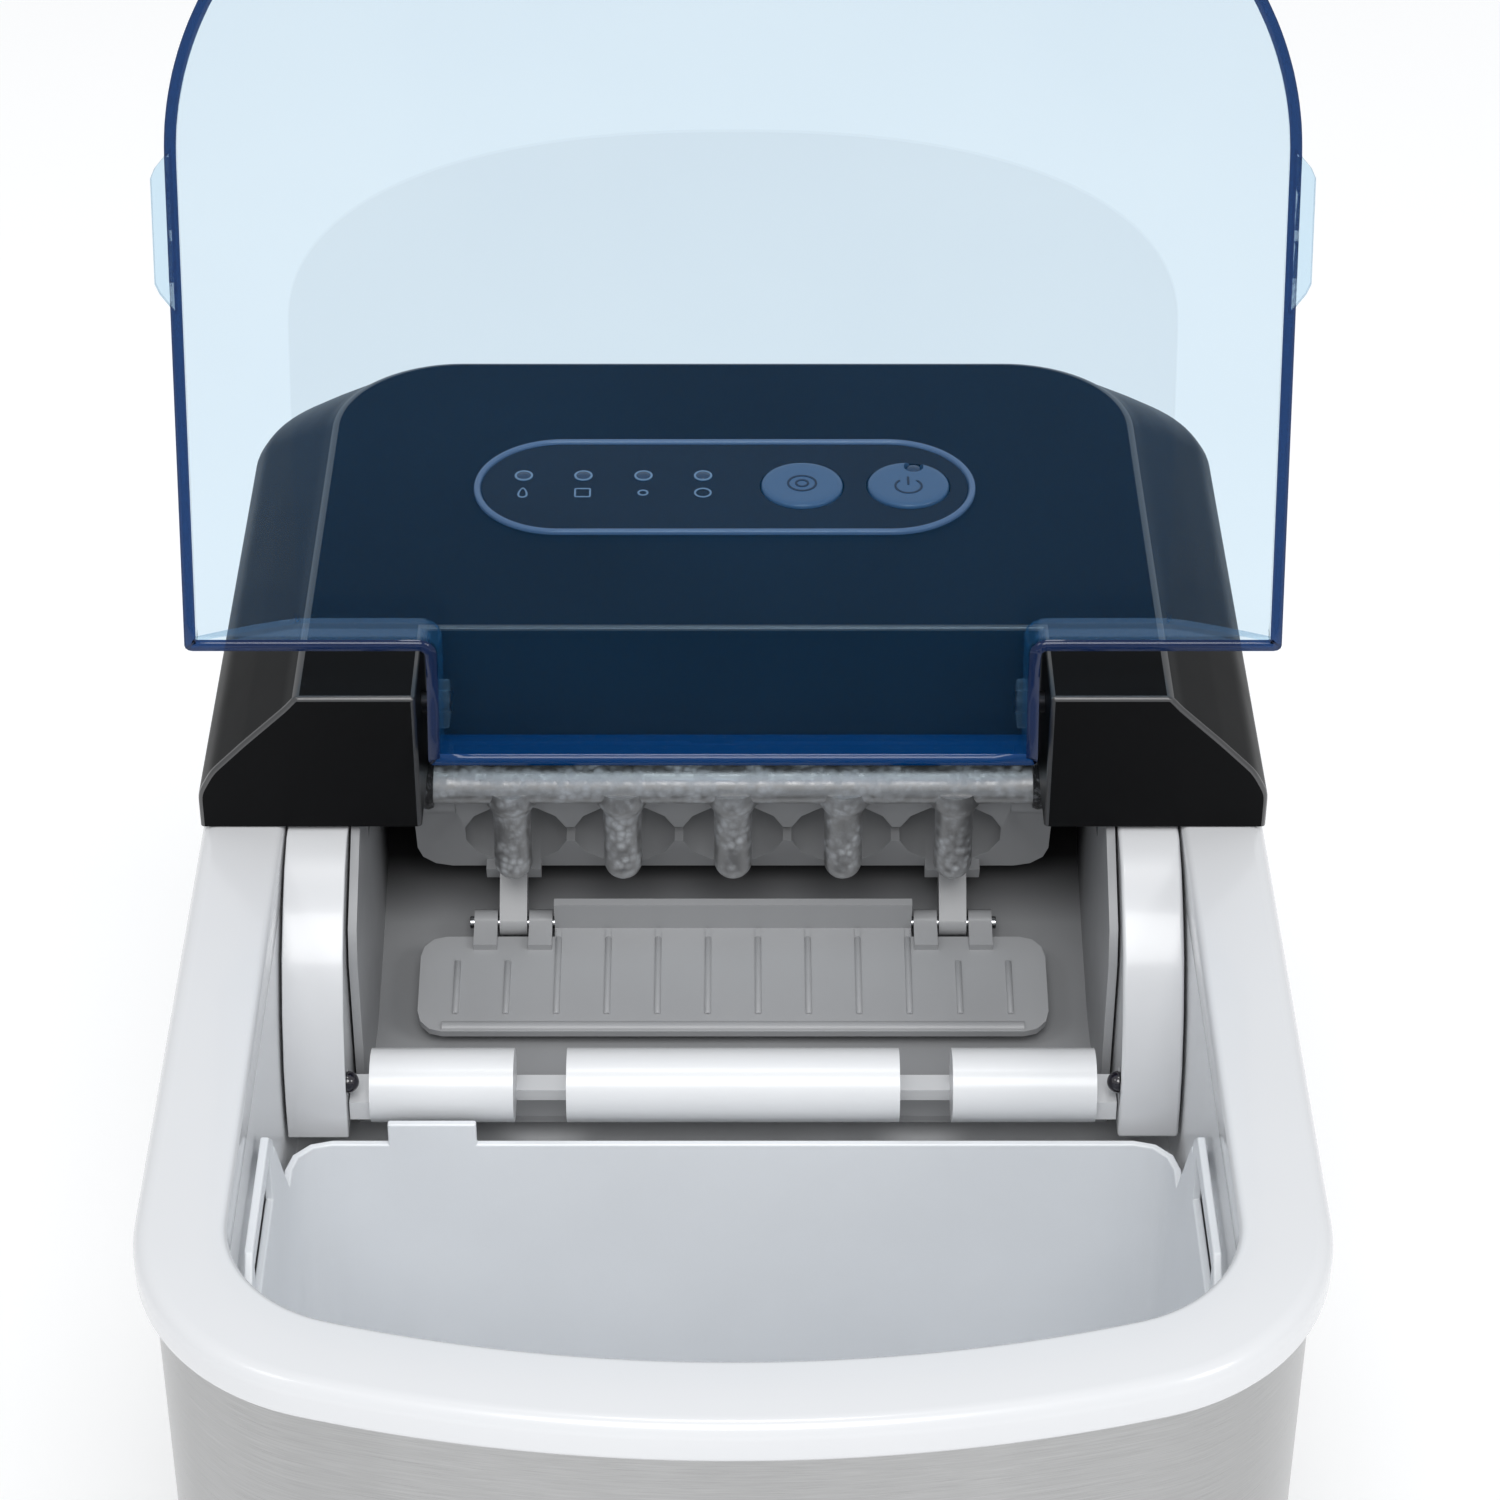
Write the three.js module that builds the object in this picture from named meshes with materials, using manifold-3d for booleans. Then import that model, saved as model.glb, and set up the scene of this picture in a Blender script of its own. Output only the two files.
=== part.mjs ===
// Countertop bullet-ice maker: a steel-wrapped housing with a white rim, a tinted
// flip-up lid, a black control hood, a tilting water tray under a five-finger
// evaporator, and the cooling set behind the reservoir.
// Frame: millimetres, +Z up, front towards -Y, origin at the centre of the footprint.

import * as THREE from 'three';
import Module from 'manifold-3d';
import { mergeVertices } from 'three/addons/utils/BufferGeometryUtils.js';
import { ConvexGeometry } from 'three/addons/geometries/ConvexGeometry.js';

const wasm = await Module();
wasm.setup();

// ---------------------------------------------------------------- dimensions

// housing
const bodyWidth = 242;
const bodyDepth = 358;
const rimTop = 290;
const hoodTop = 326;
const footHeight = 12;
const cornerRadius = 50;
const frontRadius = 307;
const rearRadius = 28;
const seam = 0.3;

// base, wrap and rear panel
const baseInset = 2;
const baseFloor = 3;
const baseTop = 30;
const baseWall = 3;
const wrapInset = 3.4;
const wrapThickness = 0.8;
const wrapRearY = 150;
const rearPanelInset = 2.6;
const rearPanelWall = 2.6;
const louvreRows = 11;
const louvrePitch = 10;
const louvreHeight = 4;
const ventRows = 6;

// rim frame and liner
const rimHeight = 10;
const rimWidth = 19;
const rimEdge = 2;
const linerWall = 2.2;
const linerReveal = 0.2;
const linerFlange = 8;
const tubFloorZ = 46;
const stepFloorZ = 210;
const tubRearY = -24;
const chamberRearY = 90.6;
const wellRadius = 6;

// basket
const basketGap = 1.4;
const basketWall = 1.8;
const basketFloorZ = 130;
const basketTop = 262;
const basketRearTop = 234;
const basketRearY = -33;
const handleRise = 9;
const handleLength = 46;
const handleY = -92;

// ice chamber
const chamberHalf = 85;
const chamberWall = 2;
const chamberFrontY = -11;
const chamberFloor = 222;
const noseRadius = 8.5;
const noseY = -21;
const noseZ = 240;
const noseCentreHalf = 37.8;
const noseGap = 12;
const blockInner = 87.6;
const sensorRadius = 2.6;

// evaporator
const fingerCount = 5;
const fingerPitch = 26;
const fingerRadius = 4.5;
const fingerTip = 255;
const tubeRadius = 4.75;
const tubeY = 38;
const tubeZ = 282;
const riserX = 79.9;
const riserTop = 300;
const foamThickness = 1.6;

// tilting water tray
const trayPivotY = 50;
const trayPivotZ = 270.5;
const trayTilt = 110;
const trayRim = 274.5;
const trayPlate = 2;
const trayHalf = 76;
const trayFrontY = 23.8;
const trayRearY = 54;
const cupBore = 12.4;
const cupWall = 1.6;
const cupDepth = 26;
const hubRadius = 5;
const axleRadius = 3;
const axleGap = 0.35;

// shovel plate
const shovelHalf = 75;
const shovelLength = 33;
const shovelThickness = 2;
const shovelPinY = 45;
const shovelPinZ = 235;
const shovelSlope = 14;
const shovelFlange = 9;
const armX = 53;
const armWidth = 6.6;
const lugWidth = 5.6;
const pinRadius = 1.5;
const ribCount = 12;
const ribPitch = 12;

// hood and lid
const hoodFrontY = 10.3;
const hoodWall = 2.5;
const hoodRidgeHalf = 98.5;
const hoodShoulderZ = 299.5;
const hoodRearTopY = 155;
const recessHalf = 70.7;
const recessRearY = 38.3;
const lidRearY = 8.6;
const lidFrontY = -176;
const lidHalf = 121;
const lidCorner = 70;
const lidFrontRadius = 300;
const lidSkirt = 3;
const lidRise = 19.5;
const lidPanelHalf = 98.5;
const lidWall = 2.6;
const lidHingeHalf = 68;
const lidHingeRearY = 36;
const lidHingeSkirt = 3;
const hingeY = 27.08;
const hingeZ = 313.19;
const lidOpen = 108.57;
const hingePinRadius = 2.5;
const hingePinGap = 0.35;

// control panel
const panelX = -2;
const panelY = 97;
const panelLength = 120;
const panelBreadth = 41.5;
const bezelRim = 3.2;
const bezelProud = 1.5;
const buttonRadius = 9.75;
const buttonGap = 0.4;
const ledRadius = 2;
const boardTop = 316.6;

// cooling set
const compressorX = 48;
const compressorY = 35;
const compressorRadius = 45;
const compressorTop = 149;
const mountHeight = 11.4;
const fanX = -35;
const fanZ = 92;
const fanRadius = 47;
const fanClearance = 3;
const coolerHalf = 60;
const condenserY = 142;
const condenserDepth = 22;
const pumpX = -75;
const pumpY = 3;

// drain and power inlet
const drainY = -60;
const drainZ = 60;
const drainBore = 6.5;
const inletX = 70;
const inletZ = 52;

// ------------------------------------------------------------------ helpers

const frontY = -bodyDepth / 2;
const rearY = bodyDepth / 2;
const radians = THREE.MathUtils.degToRad;

function arc(points, cx, cy, radius, from, to, steps) {
  for (let i = 0; i <= steps; i += 1) {
    const a = from + ((to - from) * i) / steps;
    points.push([cx + radius * Math.cos(a), cy + radius * Math.sin(a)]);
  }
}

// Right half of a plan with a bowed front, round front corners and straight sides.
function halfPlan(half, front, bow, corner, inset, steps = 6) {
  const cx = half - corner;
  const bowY = front + bow;
  const cy = bowY - Math.sqrt((bow - corner) ** 2 - cx ** 2);
  const turn = Math.atan2(cy - bowY, cx);
  const points = [];
  arc(points, 0, bowY, bow - inset, -Math.PI / 2, turn, 4);
  points.pop();
  arc(points, cx, cy, corner - inset, turn, 0, steps);
  return points;
}

function mirrored(half) {
  const left = half.filter((p) => p[0] > 1e-6).map((p) => [-p[0], p[1]]).reverse();
  return [...left, ...half];
}

// Closed housing plan, inset from the widest line, ending at backY.
function plan(inset, backY = rearY - inset, backRadius = Math.max(rearRadius - inset, 1)) {
  const half = halfPlan(bodyWidth / 2, frontY, frontRadius, cornerRadius, inset);
  const x = bodyWidth / 2 - inset;
  arc(half, x - backRadius, backY - backRadius, backRadius, 0, Math.PI / 2, 3);
  return mirrored(half);
}

function shapeOf(points, holes = []) {
  const shape = new THREE.Shape(points.map((p) => new THREE.Vector2(p[0], p[1])));
  for (const hole of holes) {
    shape.holes.push(new THREE.Path(hole.map((p) => new THREE.Vector2(p[0], p[1]))));
  }
  return shape;
}

// Upright prism of a plan outline between two heights.
function prism(points, z0, z1, holes = []) {
  const geometry = new THREE.ExtrudeGeometry(shapeOf(points, holes), {
    depth: z1 - z0,
    bevelEnabled: false,
  });
  geometry.translate(0, 0, z0);
  return geometry;
}

const alongX = new THREE.Matrix4().makeBasis(
  new THREE.Vector3(0, 1, 0),
  new THREE.Vector3(0, 0, 1),
  new THREE.Vector3(1, 0, 0),
);
const alongY = new THREE.Matrix4().makeBasis(
  new THREE.Vector3(1, 0, 0),
  new THREE.Vector3(0, 0, 1),
  new THREE.Vector3(0, -1, 0),
);

// Prism of a side profile given as [y, z] points, between two x values.
function sideProfile(points, x0, x1) {
  const geometry = prism(points, 0, x1 - x0);
  geometry.applyMatrix4(alongX);
  geometry.translate(x0, 0, 0);
  return geometry;
}

// Prism of a front profile given as [x, z] points, between two y values.
function frontProfile(points, y0, y1) {
  const geometry = prism(points, 0, y1 - y0);
  geometry.applyMatrix4(alongY);
  geometry.translate(0, y1, 0);
  return geometry;
}

function box(x0, x1, y0, y1, z0, z1) {
  const geometry = new THREE.BoxGeometry(x1 - x0, y1 - y0, z1 - z0);
  geometry.translate((x0 + x1) / 2, (y0 + y1) / 2, (z0 + z1) / 2);
  return geometry;
}

function rodZ(radius, x, y, z0, z1, sides = 16, topRadius = radius) {
  const geometry = new THREE.CylinderGeometry(topRadius, radius, z1 - z0, sides);
  geometry.rotateX(Math.PI / 2);
  geometry.translate(x, y, (z0 + z1) / 2);
  return geometry;
}

function rodX(radius, x0, x1, y, z, sides = 16) {
  const geometry = new THREE.CylinderGeometry(radius, radius, x1 - x0, sides);
  geometry.rotateZ(Math.PI / 2);
  geometry.translate((x0 + x1) / 2, y, z);
  return geometry;
}

function rodY(radius, x, y0, y1, z, sides = 16) {
  const geometry = new THREE.CylinderGeometry(radius, radius, y1 - y0, sides);
  geometry.translate(x, (y0 + y1) / 2, z);
  return geometry;
}

// Turned piece about a vertical axis through (x, y); profile is [radius, z] pairs.
function turned(profile, x, y, sides = 20) {
  const points = profile.map((p) => new THREE.Vector2(p[0], p[1]));
  const geometry = new THREE.LatheGeometry(points, sides);
  geometry.rotateX(Math.PI / 2);
  geometry.translate(x, y, 0);
  return geometry;
}

function hull(points) {
  return new ConvexGeometry(points.map((p) => new THREE.Vector3(p[0], p[1], p[2])));
}

// Round bar or pipe swept along a smooth path.
function pipe(points, radius, steps, sides = 8) {
  const curve = new THREE.CatmullRomCurve3(
    points.map((p) => new THREE.Vector3(p[0], p[1], p[2])),
    false,
    'centripetal',
  );
  const section = [];
  arc(section, 0, 0, radius, 0, 2 * Math.PI * (1 - 1 / sides), sides - 1);
  return new THREE.ExtrudeGeometry(shapeOf(section), {
    steps,
    extrudePath: curve,
    bevelEnabled: false,
  });
}

// Stadium outline, longer along x.
function stadium(cx, cy, length, breadth, steps = 8) {
  const r = breadth / 2;
  const points = [];
  arc(points, cx + length / 2 - r, cy, r, -Math.PI / 2, Math.PI / 2, steps);
  arc(points, cx - length / 2 + r, cy, r, Math.PI / 2, 1.5 * Math.PI, steps);
  return points;
}

function rounded(x0, x1, y0, y1, r, steps = 3) {
  const points = [];
  arc(points, x1 - r, y0 + r, r, -Math.PI / 2, 0, steps);
  arc(points, x1 - r, y1 - r, r, 0, Math.PI / 2, steps);
  arc(points, x0 + r, y1 - r, r, Math.PI / 2, Math.PI, steps);
  arc(points, x0 + r, y0 + r, r, Math.PI, 1.5 * Math.PI, steps);
  return points;
}

function solid(geometry) {
  const bare = geometry.clone();
  bare.deleteAttribute('normal');
  bare.deleteAttribute('uv');
  const merged = mergeVertices(bare, 1e-4);
  return new wasm.Manifold(new wasm.Mesh({
    numProp: 3,
    vertProperties: Float32Array.from(merged.attributes.position.array),
    triVerts: Uint32Array.from(merged.index.array),
  }));
}

function join(...geometries) {
  return geometries.map(asSolid).reduce((a, b) => a.add(b));
}

function cut(from, ...tools) {
  return tools.map(asSolid).reduce((a, b) => a.subtract(b), asSolid(from));
}

function common(a, b) {
  return asSolid(a).intersect(asSolid(b));
}

function asSolid(item) {
  return item.isBufferGeometry ? solid(item) : item;
}

function asGeometry(item) {
  if (item.isBufferGeometry) {
    return item;
  }
  const mesh = item.getMesh();
  const positions = new Float32Array(mesh.numVert * 3);
  for (let i = 0; i < mesh.numVert; i += 1) {
    positions.set(mesh.vertProperties.slice(i * mesh.numProp, i * mesh.numProp + 3), 3 * i);
  }
  const geometry = new THREE.BufferGeometry();
  geometry.setAttribute('position', new THREE.BufferAttribute(positions, 3));
  geometry.setIndex(new THREE.BufferAttribute(Uint32Array.from(mesh.triVerts), 1));
  return geometry;
}

// ---------------------------------------------------------------- materials

function plastic(color, roughness = 0.4) {
  return new THREE.MeshStandardMaterial({ color, roughness, metalness: 0 });
}

function metal(color, roughness = 0.35) {
  return new THREE.MeshStandardMaterial({ color, roughness, metalness: 1 });
}

const white = plastic(0xf1f2f3, 0.35);
const blackGloss = plastic(0x141415, 0.3);
const blackMatt = plastic(0x1b1b1c, 0.6);
const grey = plastic(0xa9abae, 0.45);
const greyDark = plastic(0x77797c, 0.5);
const rubber = plastic(0x121212, 0.85);
const steel = metal(0xb6b8ba, 0.38);
const nickel = metal(0xc9c6c0, 0.3);
const copper = metal(0xb87346, 0.35);
const aluminium = metal(0xc2c5c8, 0.45);
const tint = new THREE.MeshStandardMaterial({
  color: 0x5fa8dc,
  roughness: 0.08,
  metalness: 0,
  transparent: true,
  opacity: 0.4,
});

const machine = new THREE.Group();

function place(name, item, material, parent = machine) {
  const geometry = asGeometry(item);
  geometry.computeVertexNormals();
  const mesh = new THREE.Mesh(geometry, material);
  mesh.name = name;
  parent.add(mesh);
  return mesh;
}

// A group whose contents are drawn in one pose and turned about an x axis to another.
function turnedGroup(y, z, degrees, parent = machine) {
  const pivot = new THREE.Group();
  pivot.position.set(0, y, z);
  pivot.rotation.x = radians(degrees);
  const inner = new THREE.Group();
  inner.position.set(0, -y, -z);
  pivot.add(inner);
  parent.add(pivot);
  return inner;
}

// --------------------------------------------------------- base and housing

const footX = bodyWidth / 2 - 33;
const footFrontY = frontY + 62;
const footRearY = rearY - 38;
const feet = [
  ['foot_front_left', -footX, footFrontY],
  ['foot_front_right', footX, footFrontY],
  ['foot_rear_left', -footX, footRearY],
  ['foot_rear_right', footX, footRearY],
];
const footStem = 3.7;
const floorTop = footHeight + baseFloor;

for (const [name, x, y] of feet) {
  const profile = [
    [0, 0],
    [9.5, 0],
    [11, 1.5],
    [10.2, footHeight - seam],
    [footStem, footHeight - seam],
    [footStem, floorTop + 2],
    [0, floorTop + 2],
  ];
  place(name, turned(profile, x, y, 14), rubber);
}

const lipInset = wrapInset + wrapThickness + 1.5;
const lipTop = baseTop + 8;
const base = cut(
  join(
    prism(plan(baseInset), footHeight, baseTop),
    prism(plan(lipInset), baseTop - 1, lipTop),
  ),
  prism(plan(lipInset + 2), baseTop - baseWall, lipTop + 1),
  prism(plan(baseInset + baseWall), floorTop, baseTop - baseWall),
  ...feet.map(([, x, y]) => rodZ(footStem + seam, x, y, footHeight - 1, floorTop + 1)),
);
place('base_pan', base, blackMatt);

// U-shaped wrap: front and sides, open towards the rear panel.
function openWrap(inset) {
  const half = halfPlan(bodyWidth / 2, frontY, frontRadius, cornerRadius, inset);
  half.push([bodyWidth / 2 - inset, wrapRearY]);
  return mirrored(half);
}

const skinBottom = baseTop + seam;
const skinTop = rimTop - rimHeight - seam;
const wrapOutline = [...openWrap(wrapInset), ...openWrap(wrapInset + wrapThickness).reverse()];
const vents = [];
for (let i = 0; i < ventRows; i += 1) {
  const z = 70 + i * 9;
  vents.push(box(-bodyWidth, bodyWidth, 88, 136, z, z + 3));
}
const drainCap = 10;
place('steel_wrap', cut(
  prism(wrapOutline, skinBottom, skinTop),
  rodX(drainCap + 0.8, bodyWidth / 2 - 10, bodyWidth / 2 + 5, drainY, drainZ, 24),
  ...vents,
), steel);

const rearRing = cut(
  prism(plan(rearPanelInset), skinBottom, skinTop),
  prism(plan(rearPanelInset + rearPanelWall), skinBottom - 1, skinTop + 1),
  box(-bodyWidth, bodyWidth, frontY - 5, wrapRearY + seam, 0, rimTop),
);
const louvres = [];
for (let i = 0; i < louvreRows; i += 1) {
  const z = 88 + i * louvrePitch;
  louvres.push(box(-92, -4, rearY - 12, rearY + 1, z, z + louvreHeight));
  louvres.push(box(4, 92, rearY - 12, rearY + 1, z, z + louvreHeight));
}
const inletHalfX = 14;
const inletHalfZ = 10.5;
const rearFace = rearY - rearPanelInset;
const screwPlaces = [[-100, 250], [100, 250]];
place('rear_panel', cut(
  rearRing,
  ...louvres,
  box(inletX - inletHalfX - seam, inletX + inletHalfX + seam, rearY - 12, rearY + 1,
    inletZ - inletHalfZ - seam, inletZ + inletHalfZ + seam),
  ...screwPlaces.map(([x, z]) => rodY(2.1, x, rearY - 12, rearY + 1, z, 12)),
), blackMatt);

screwPlaces.forEach(([x, z], i) => {
  place(`rear_screw_${i + 1}`, join(
    rodY(1.8, x, rearFace - 9, rearFace + 1, z, 12),
    rodY(3.6, x, rearFace + seam, rearFace + 2.2, z, 12),
  ), metal(0x8d8f92));
});

const inletPins = [[-7, 0], [0, 3], [7, 0]];
place('power_inlet', join(
  cut(
    join(
      box(inletX - 17, inletX + 17, rearFace + seam, rearY - 0.2, inletZ - 13.5, inletZ + 13.5),
      box(inletX - inletHalfX, inletX + inletHalfX, rearFace - 16, rearFace + 1,
        inletZ - inletHalfZ, inletZ + inletHalfZ),
    ),
    box(inletX - 12, inletX + 12, rearFace - 13.5, rearY + 1, inletZ - 8.5, inletZ + 8.5),
  ),
  ...inletPins.map(([x, z]) => box(inletX + x - 1, inletX + x + 1, rearFace - 14, rearFace - 1,
    inletZ + z - 2, inletZ + z + 2)),
), blackMatt);

// ----------------------------------------------------- rim frame and liner

const openingHalf = bodyWidth / 2 - rimWidth;
const rimShape = shapeOf(plan(0), [
  plan(rimWidth, chamberRearY, wellRadius),
  rounded(-98, 98, chamberRearY + 13, rearY - 18, 8),
]);
const rim = new THREE.ExtrudeGeometry(rimShape, {
  depth: rimHeight - 2 * rimEdge,
  bevelEnabled: true,
  bevelThickness: rimEdge,
  bevelSize: rimEdge,
  bevelOffset: -rimEdge,
  bevelSegments: 2,
});
rim.translate(0, 0, rimTop - rimHeight + rimEdge);
place('top_frame', rim, white);

const wellInset = rimWidth - linerReveal;
const shellInset = wellInset - linerWall;
const linerTop = rimTop - rimHeight - seam;
const wellRearY = chamberRearY + linerReveal;
const pumpPortZ = 58;
const liner = join(
  cut(
    join(
      prism(plan(shellInset, wellRearY + linerWall, 8), stepFloorZ, linerTop),
      prism(plan(shellInset - linerFlange + 1.4, wellRearY + linerFlange, 12), linerTop - 2.4,
        linerTop),
      prism(plan(shellInset, tubRearY + linerWall, 8), tubFloorZ, stepFloorZ + 1),
    ),
    prism(plan(wellInset, wellRearY, wellRadius), stepFloorZ + linerWall, rimTop),
    prism(plan(wellInset, tubRearY, wellRadius), tubFloorZ + linerWall, rimTop),
  ),
);
const spoutEnd = bodyWidth / 2 - wrapInset - wrapThickness - 0.6;
const ledgeTop = basketFloorZ - basketWall - seam;
place('liner', cut(
  join(
    liner,
    box(openingHalf - 5, openingHalf + 1, -130, -50, ledgeTop - 6, ledgeTop),
    box(-openingHalf - 1, 5 - openingHalf, -130, -50, ledgeTop - 6, ledgeTop),
    rodX(drainBore + 2.5, openingHalf + 1, spoutEnd, drainY, drainZ, 20),
    rodY(5.5, pumpX, tubRearY + 1, tubRearY + 12, pumpPortZ, 16),
  ),
  rodX(drainBore, openingHalf - 4, spoutEnd + 1, drainY, drainZ, 20),
  rodY(3.5, pumpX, tubRearY - 3, tubRearY + 13, pumpPortZ, 16),
), white);

place('drain_plug', join(
  rodX(drainBore - 0.35, openingHalf + 2, spoutEnd + 0.6, drainY, drainZ, 20),
  rodX(drainCap, spoutEnd + seam, bodyWidth / 2 - 0.4, drainY, drainZ, 24),
), blackMatt);

// water level float on its stem, standing on the reservoir floor
const floatX = 70;
const floatY = -60;
const tubFloorTop = tubFloorZ + linerWall;
place('level_stem', turned([
  [0, tubFloorTop + seam],
  [7, tubFloorTop + seam],
  [7, tubFloorTop + 2.3],
  [2.2, tubFloorTop + 2.3],
  [2.2, tubFloorTop + 48],
  [4, tubFloorTop + 48],
  [4, tubFloorTop + 51],
  [0, tubFloorTop + 51],
], floatX, floatY, 16), blackMatt);
place('level_float', cut(
  rodZ(9, floatX, floatY, tubFloorTop + 2.6, tubFloorTop + 18, 20),
  rodZ(2.6, floatX, floatY, tubFloorTop, tubFloorTop + 30, 16),
), plastic(0xe8e8e6, 0.5));

// -------------------------------------------------------------- ice basket

const basketInset = wellInset + basketGap;
const basketBottom = basketFloorZ - basketWall;
const basketOuter = plan(basketInset, basketRearY, 10);
const basketInner = plan(basketInset + basketWall, basketRearY - basketWall, 8.2);
const basketHalf = bodyWidth / 2 - basketInset;
const drains = [];
for (let row = 0; row < 3; row += 1) {
  for (let column = 0; column < 5; column += 1) {
    const x = (column - 2) * 34;
    const y = -70 - row * 26;
    drains.push(box(x - 10, x + 10, y - 2.5, y + 2.5, basketBottom - 1, basketFloorZ + 1));
  }
}
const tabX = -68;
const rearDrop = [
  [basketRearY + 5, basketRearTop],
  [basketRearY - 16, basketRearTop],
  [basketRearY - 34, basketTop + 0.5],
  [basketRearY + 5, basketTop + 0.5],
];
const handleProfile = [
  [handleY - handleLength / 2, basketTop - 20],
  [handleY + handleLength / 2, basketTop - 20],
  [handleY + handleLength / 2, basketTop + handleRise - 5],
  [handleY + handleLength / 2 - 5, basketTop + handleRise],
  [handleY - handleLength / 2 + 5, basketTop + handleRise],
  [handleY - handleLength / 2, basketTop + handleRise - 5],
];
const basketTub = cut(
  prism(basketOuter, basketBottom, basketTop),
  prism(basketInner, basketFloorZ, basketTop + 1),
  sideProfile(rearDrop, -bodyWidth, bodyWidth),
);
place('basket', cut(
  join(
    basketTub,
    sideProfile(handleProfile, basketHalf - basketWall, basketHalf),
    sideProfile(handleProfile, -basketHalf, basketWall - basketHalf),
    box(tabX - 10, tabX + 10, basketRearY - basketWall, basketRearY, basketRearTop - 4,
      basketRearTop + 6),
  ),
  box(-bodyWidth, bodyWidth, handleY - 17, handleY + 17, basketTop - 8, basketTop + 4),
  ...drains,
), plastic(0xe4e6e8, 0.4));

// ------------------------------------------------------------- ice chamber

const floorTopLine = [
  [chamberFrontY, chamberFloor],
  [25, chamberFloor],
  [48, chamberFloor + 6],
  [68, chamberFloor + 13],
  [88, chamberFloor + 28],
];
const floorProfile = [
  ...floorTopLine.map(([y, z]) => [y, z - chamberWall]),
  ...[...floorTopLine].reverse(),
];
const chamberOuter = chamberHalf + chamberWall;
const chamberTop = rimTop - 1;
const chamberBackY = chamberRearY - 2;
const sideWall = [
  [chamberFrontY, chamberFloor - chamberWall],
  [25, chamberFloor - chamberWall],
  [chamberBackY, chamberFloor + 20],
  [chamberBackY, chamberTop],
  [hoodFrontY + 2, chamberTop],
  [chamberFrontY + 3, chamberTop - 14],
  [chamberFrontY, chamberTop - 22],
];
const nozzleY = 60;
const nozzleZ = 283;
place('chute', cut(
  join(
    sideProfile(floorProfile, -chamberOuter, chamberOuter),
    sideProfile(sideWall, -chamberOuter, -chamberHalf),
    sideProfile(sideWall, chamberHalf, chamberOuter),
    box(-chamberOuter, chamberOuter, chamberBackY - chamberWall, chamberBackY,
      chamberFloor + 16, chamberTop),
  ),
  box(-chamberOuter - 1, chamberOuter + 1, 29, 46, 273, rimTop),
  rodX(axleRadius + axleGap, -chamberOuter - 1, chamberOuter + 1, trayPivotY, trayPivotZ, 16),
  box(-200, 200, chamberBackY, 200, 0, 400),
), grey);

const noseEndGap = 0.3;
const noseEnd = blockInner - 5.2;
const noseStart = noseCentreHalf + noseGap;
place('nose_rail', cut(
  join(
    rodX(noseRadius, -noseCentreHalf, noseCentreHalf, noseY, noseZ, 20),
    rodX(noseRadius, -noseEnd, -noseStart, noseY, noseZ, 20),
    rodX(noseRadius, noseStart, noseEnd, noseY, noseZ, 20),
    box(-noseEnd, noseEnd, noseY + 4, chamberFrontY - 0.6, noseZ - 10, noseZ - 5),
    box(-blockInner + noseEndGap, -noseEnd + 3, noseY - 5, noseY + 5, noseZ - 6, noseZ - 1),
    box(noseEnd - 3, blockInner - noseEndGap, noseY - 5, noseY + 5, noseZ - 6, noseZ - 1),
  ),
  box(-200, 200, -100, 100, 0, noseZ - 8),
), white);

const blockOuter = openingHalf - 0.6;
const sensorY = noseY - 3.6;
const sensorZ = noseZ + 4;
const blockFace = [
  [14, noseZ - 9],
  [14, rimTop - 1],
  [8, rimTop - 1],
  [0, rimTop - 4],
  [-8, rimTop - 9.5],
  [-16, rimTop - 17],
  [-23, rimTop - 28],
  [-27.5, rimTop - 40],
  [-29, rimTop - 50],
  [-29, noseZ - 9],
];
const sensorPocket = 7;
for (const [name, sensor, side] of [
  ['side_block_left', 'ir_emitter', -1],
  ['side_block_right', 'ir_receiver', 1],
]) {
  const low = Math.min(side * blockInner, side * blockOuter);
  const pocket = [side * (blockInner - 2), side * (blockInner + sensorPocket)].sort((a, b) => a - b);
  place(name, cut(
    sideProfile([...blockFace].reverse(), low, low + blockOuter - blockInner),
    rodX(sensorRadius + seam, pocket[0], pocket[1], sensorY, sensorZ, 16),
  ), white);
  const stem = [side * (blockInner - 0.2), side * (blockInner + sensorPocket - seam)].sort(
    (a, b) => a - b,
  );
  const dome = new THREE.SphereGeometry(sensorRadius, 10, 6);
  dome.translate(side * (blockInner - 0.2), sensorY, sensorZ);
  place(sensor, join(
    rodX(sensorRadius - 0.2, stem[0], stem[1], sensorY, sensorZ, 10),
    dome,
  ), blackGloss);
}

// -------------------------------------------------------------- evaporator

const fingers = [];
for (let i = 0; i < fingerCount; i += 1) {
  const x = (i - (fingerCount - 1) / 2) * fingerPitch;
  fingers.push(turned([
    [0, fingerTip],
    [fingerRadius * 0.5, fingerTip + fingerRadius * 0.134],
    [fingerRadius * 0.866, fingerTip + fingerRadius * 0.5],
    [fingerRadius, fingerTip + fingerRadius],
    [fingerRadius, tubeZ],
    [0, tubeZ],
  ], x, tubeY, 12));
}
const bendStart = riserX - 12;
const tubePath = [
  [-riserX, tubeY, riserTop],
  [-riserX, tubeY, tubeZ + 11],
  [-riserX + 3.5, tubeY, tubeZ + 3.5],
  [-bendStart, tubeY, tubeZ],
  [0, tubeY, tubeZ],
  [bendStart, tubeY, tubeZ],
  [riserX - 3.5, tubeY, tubeZ + 3.5],
  [riserX, tubeY, tubeZ + 11],
  [riserX, tubeY, riserTop],
];
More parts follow.
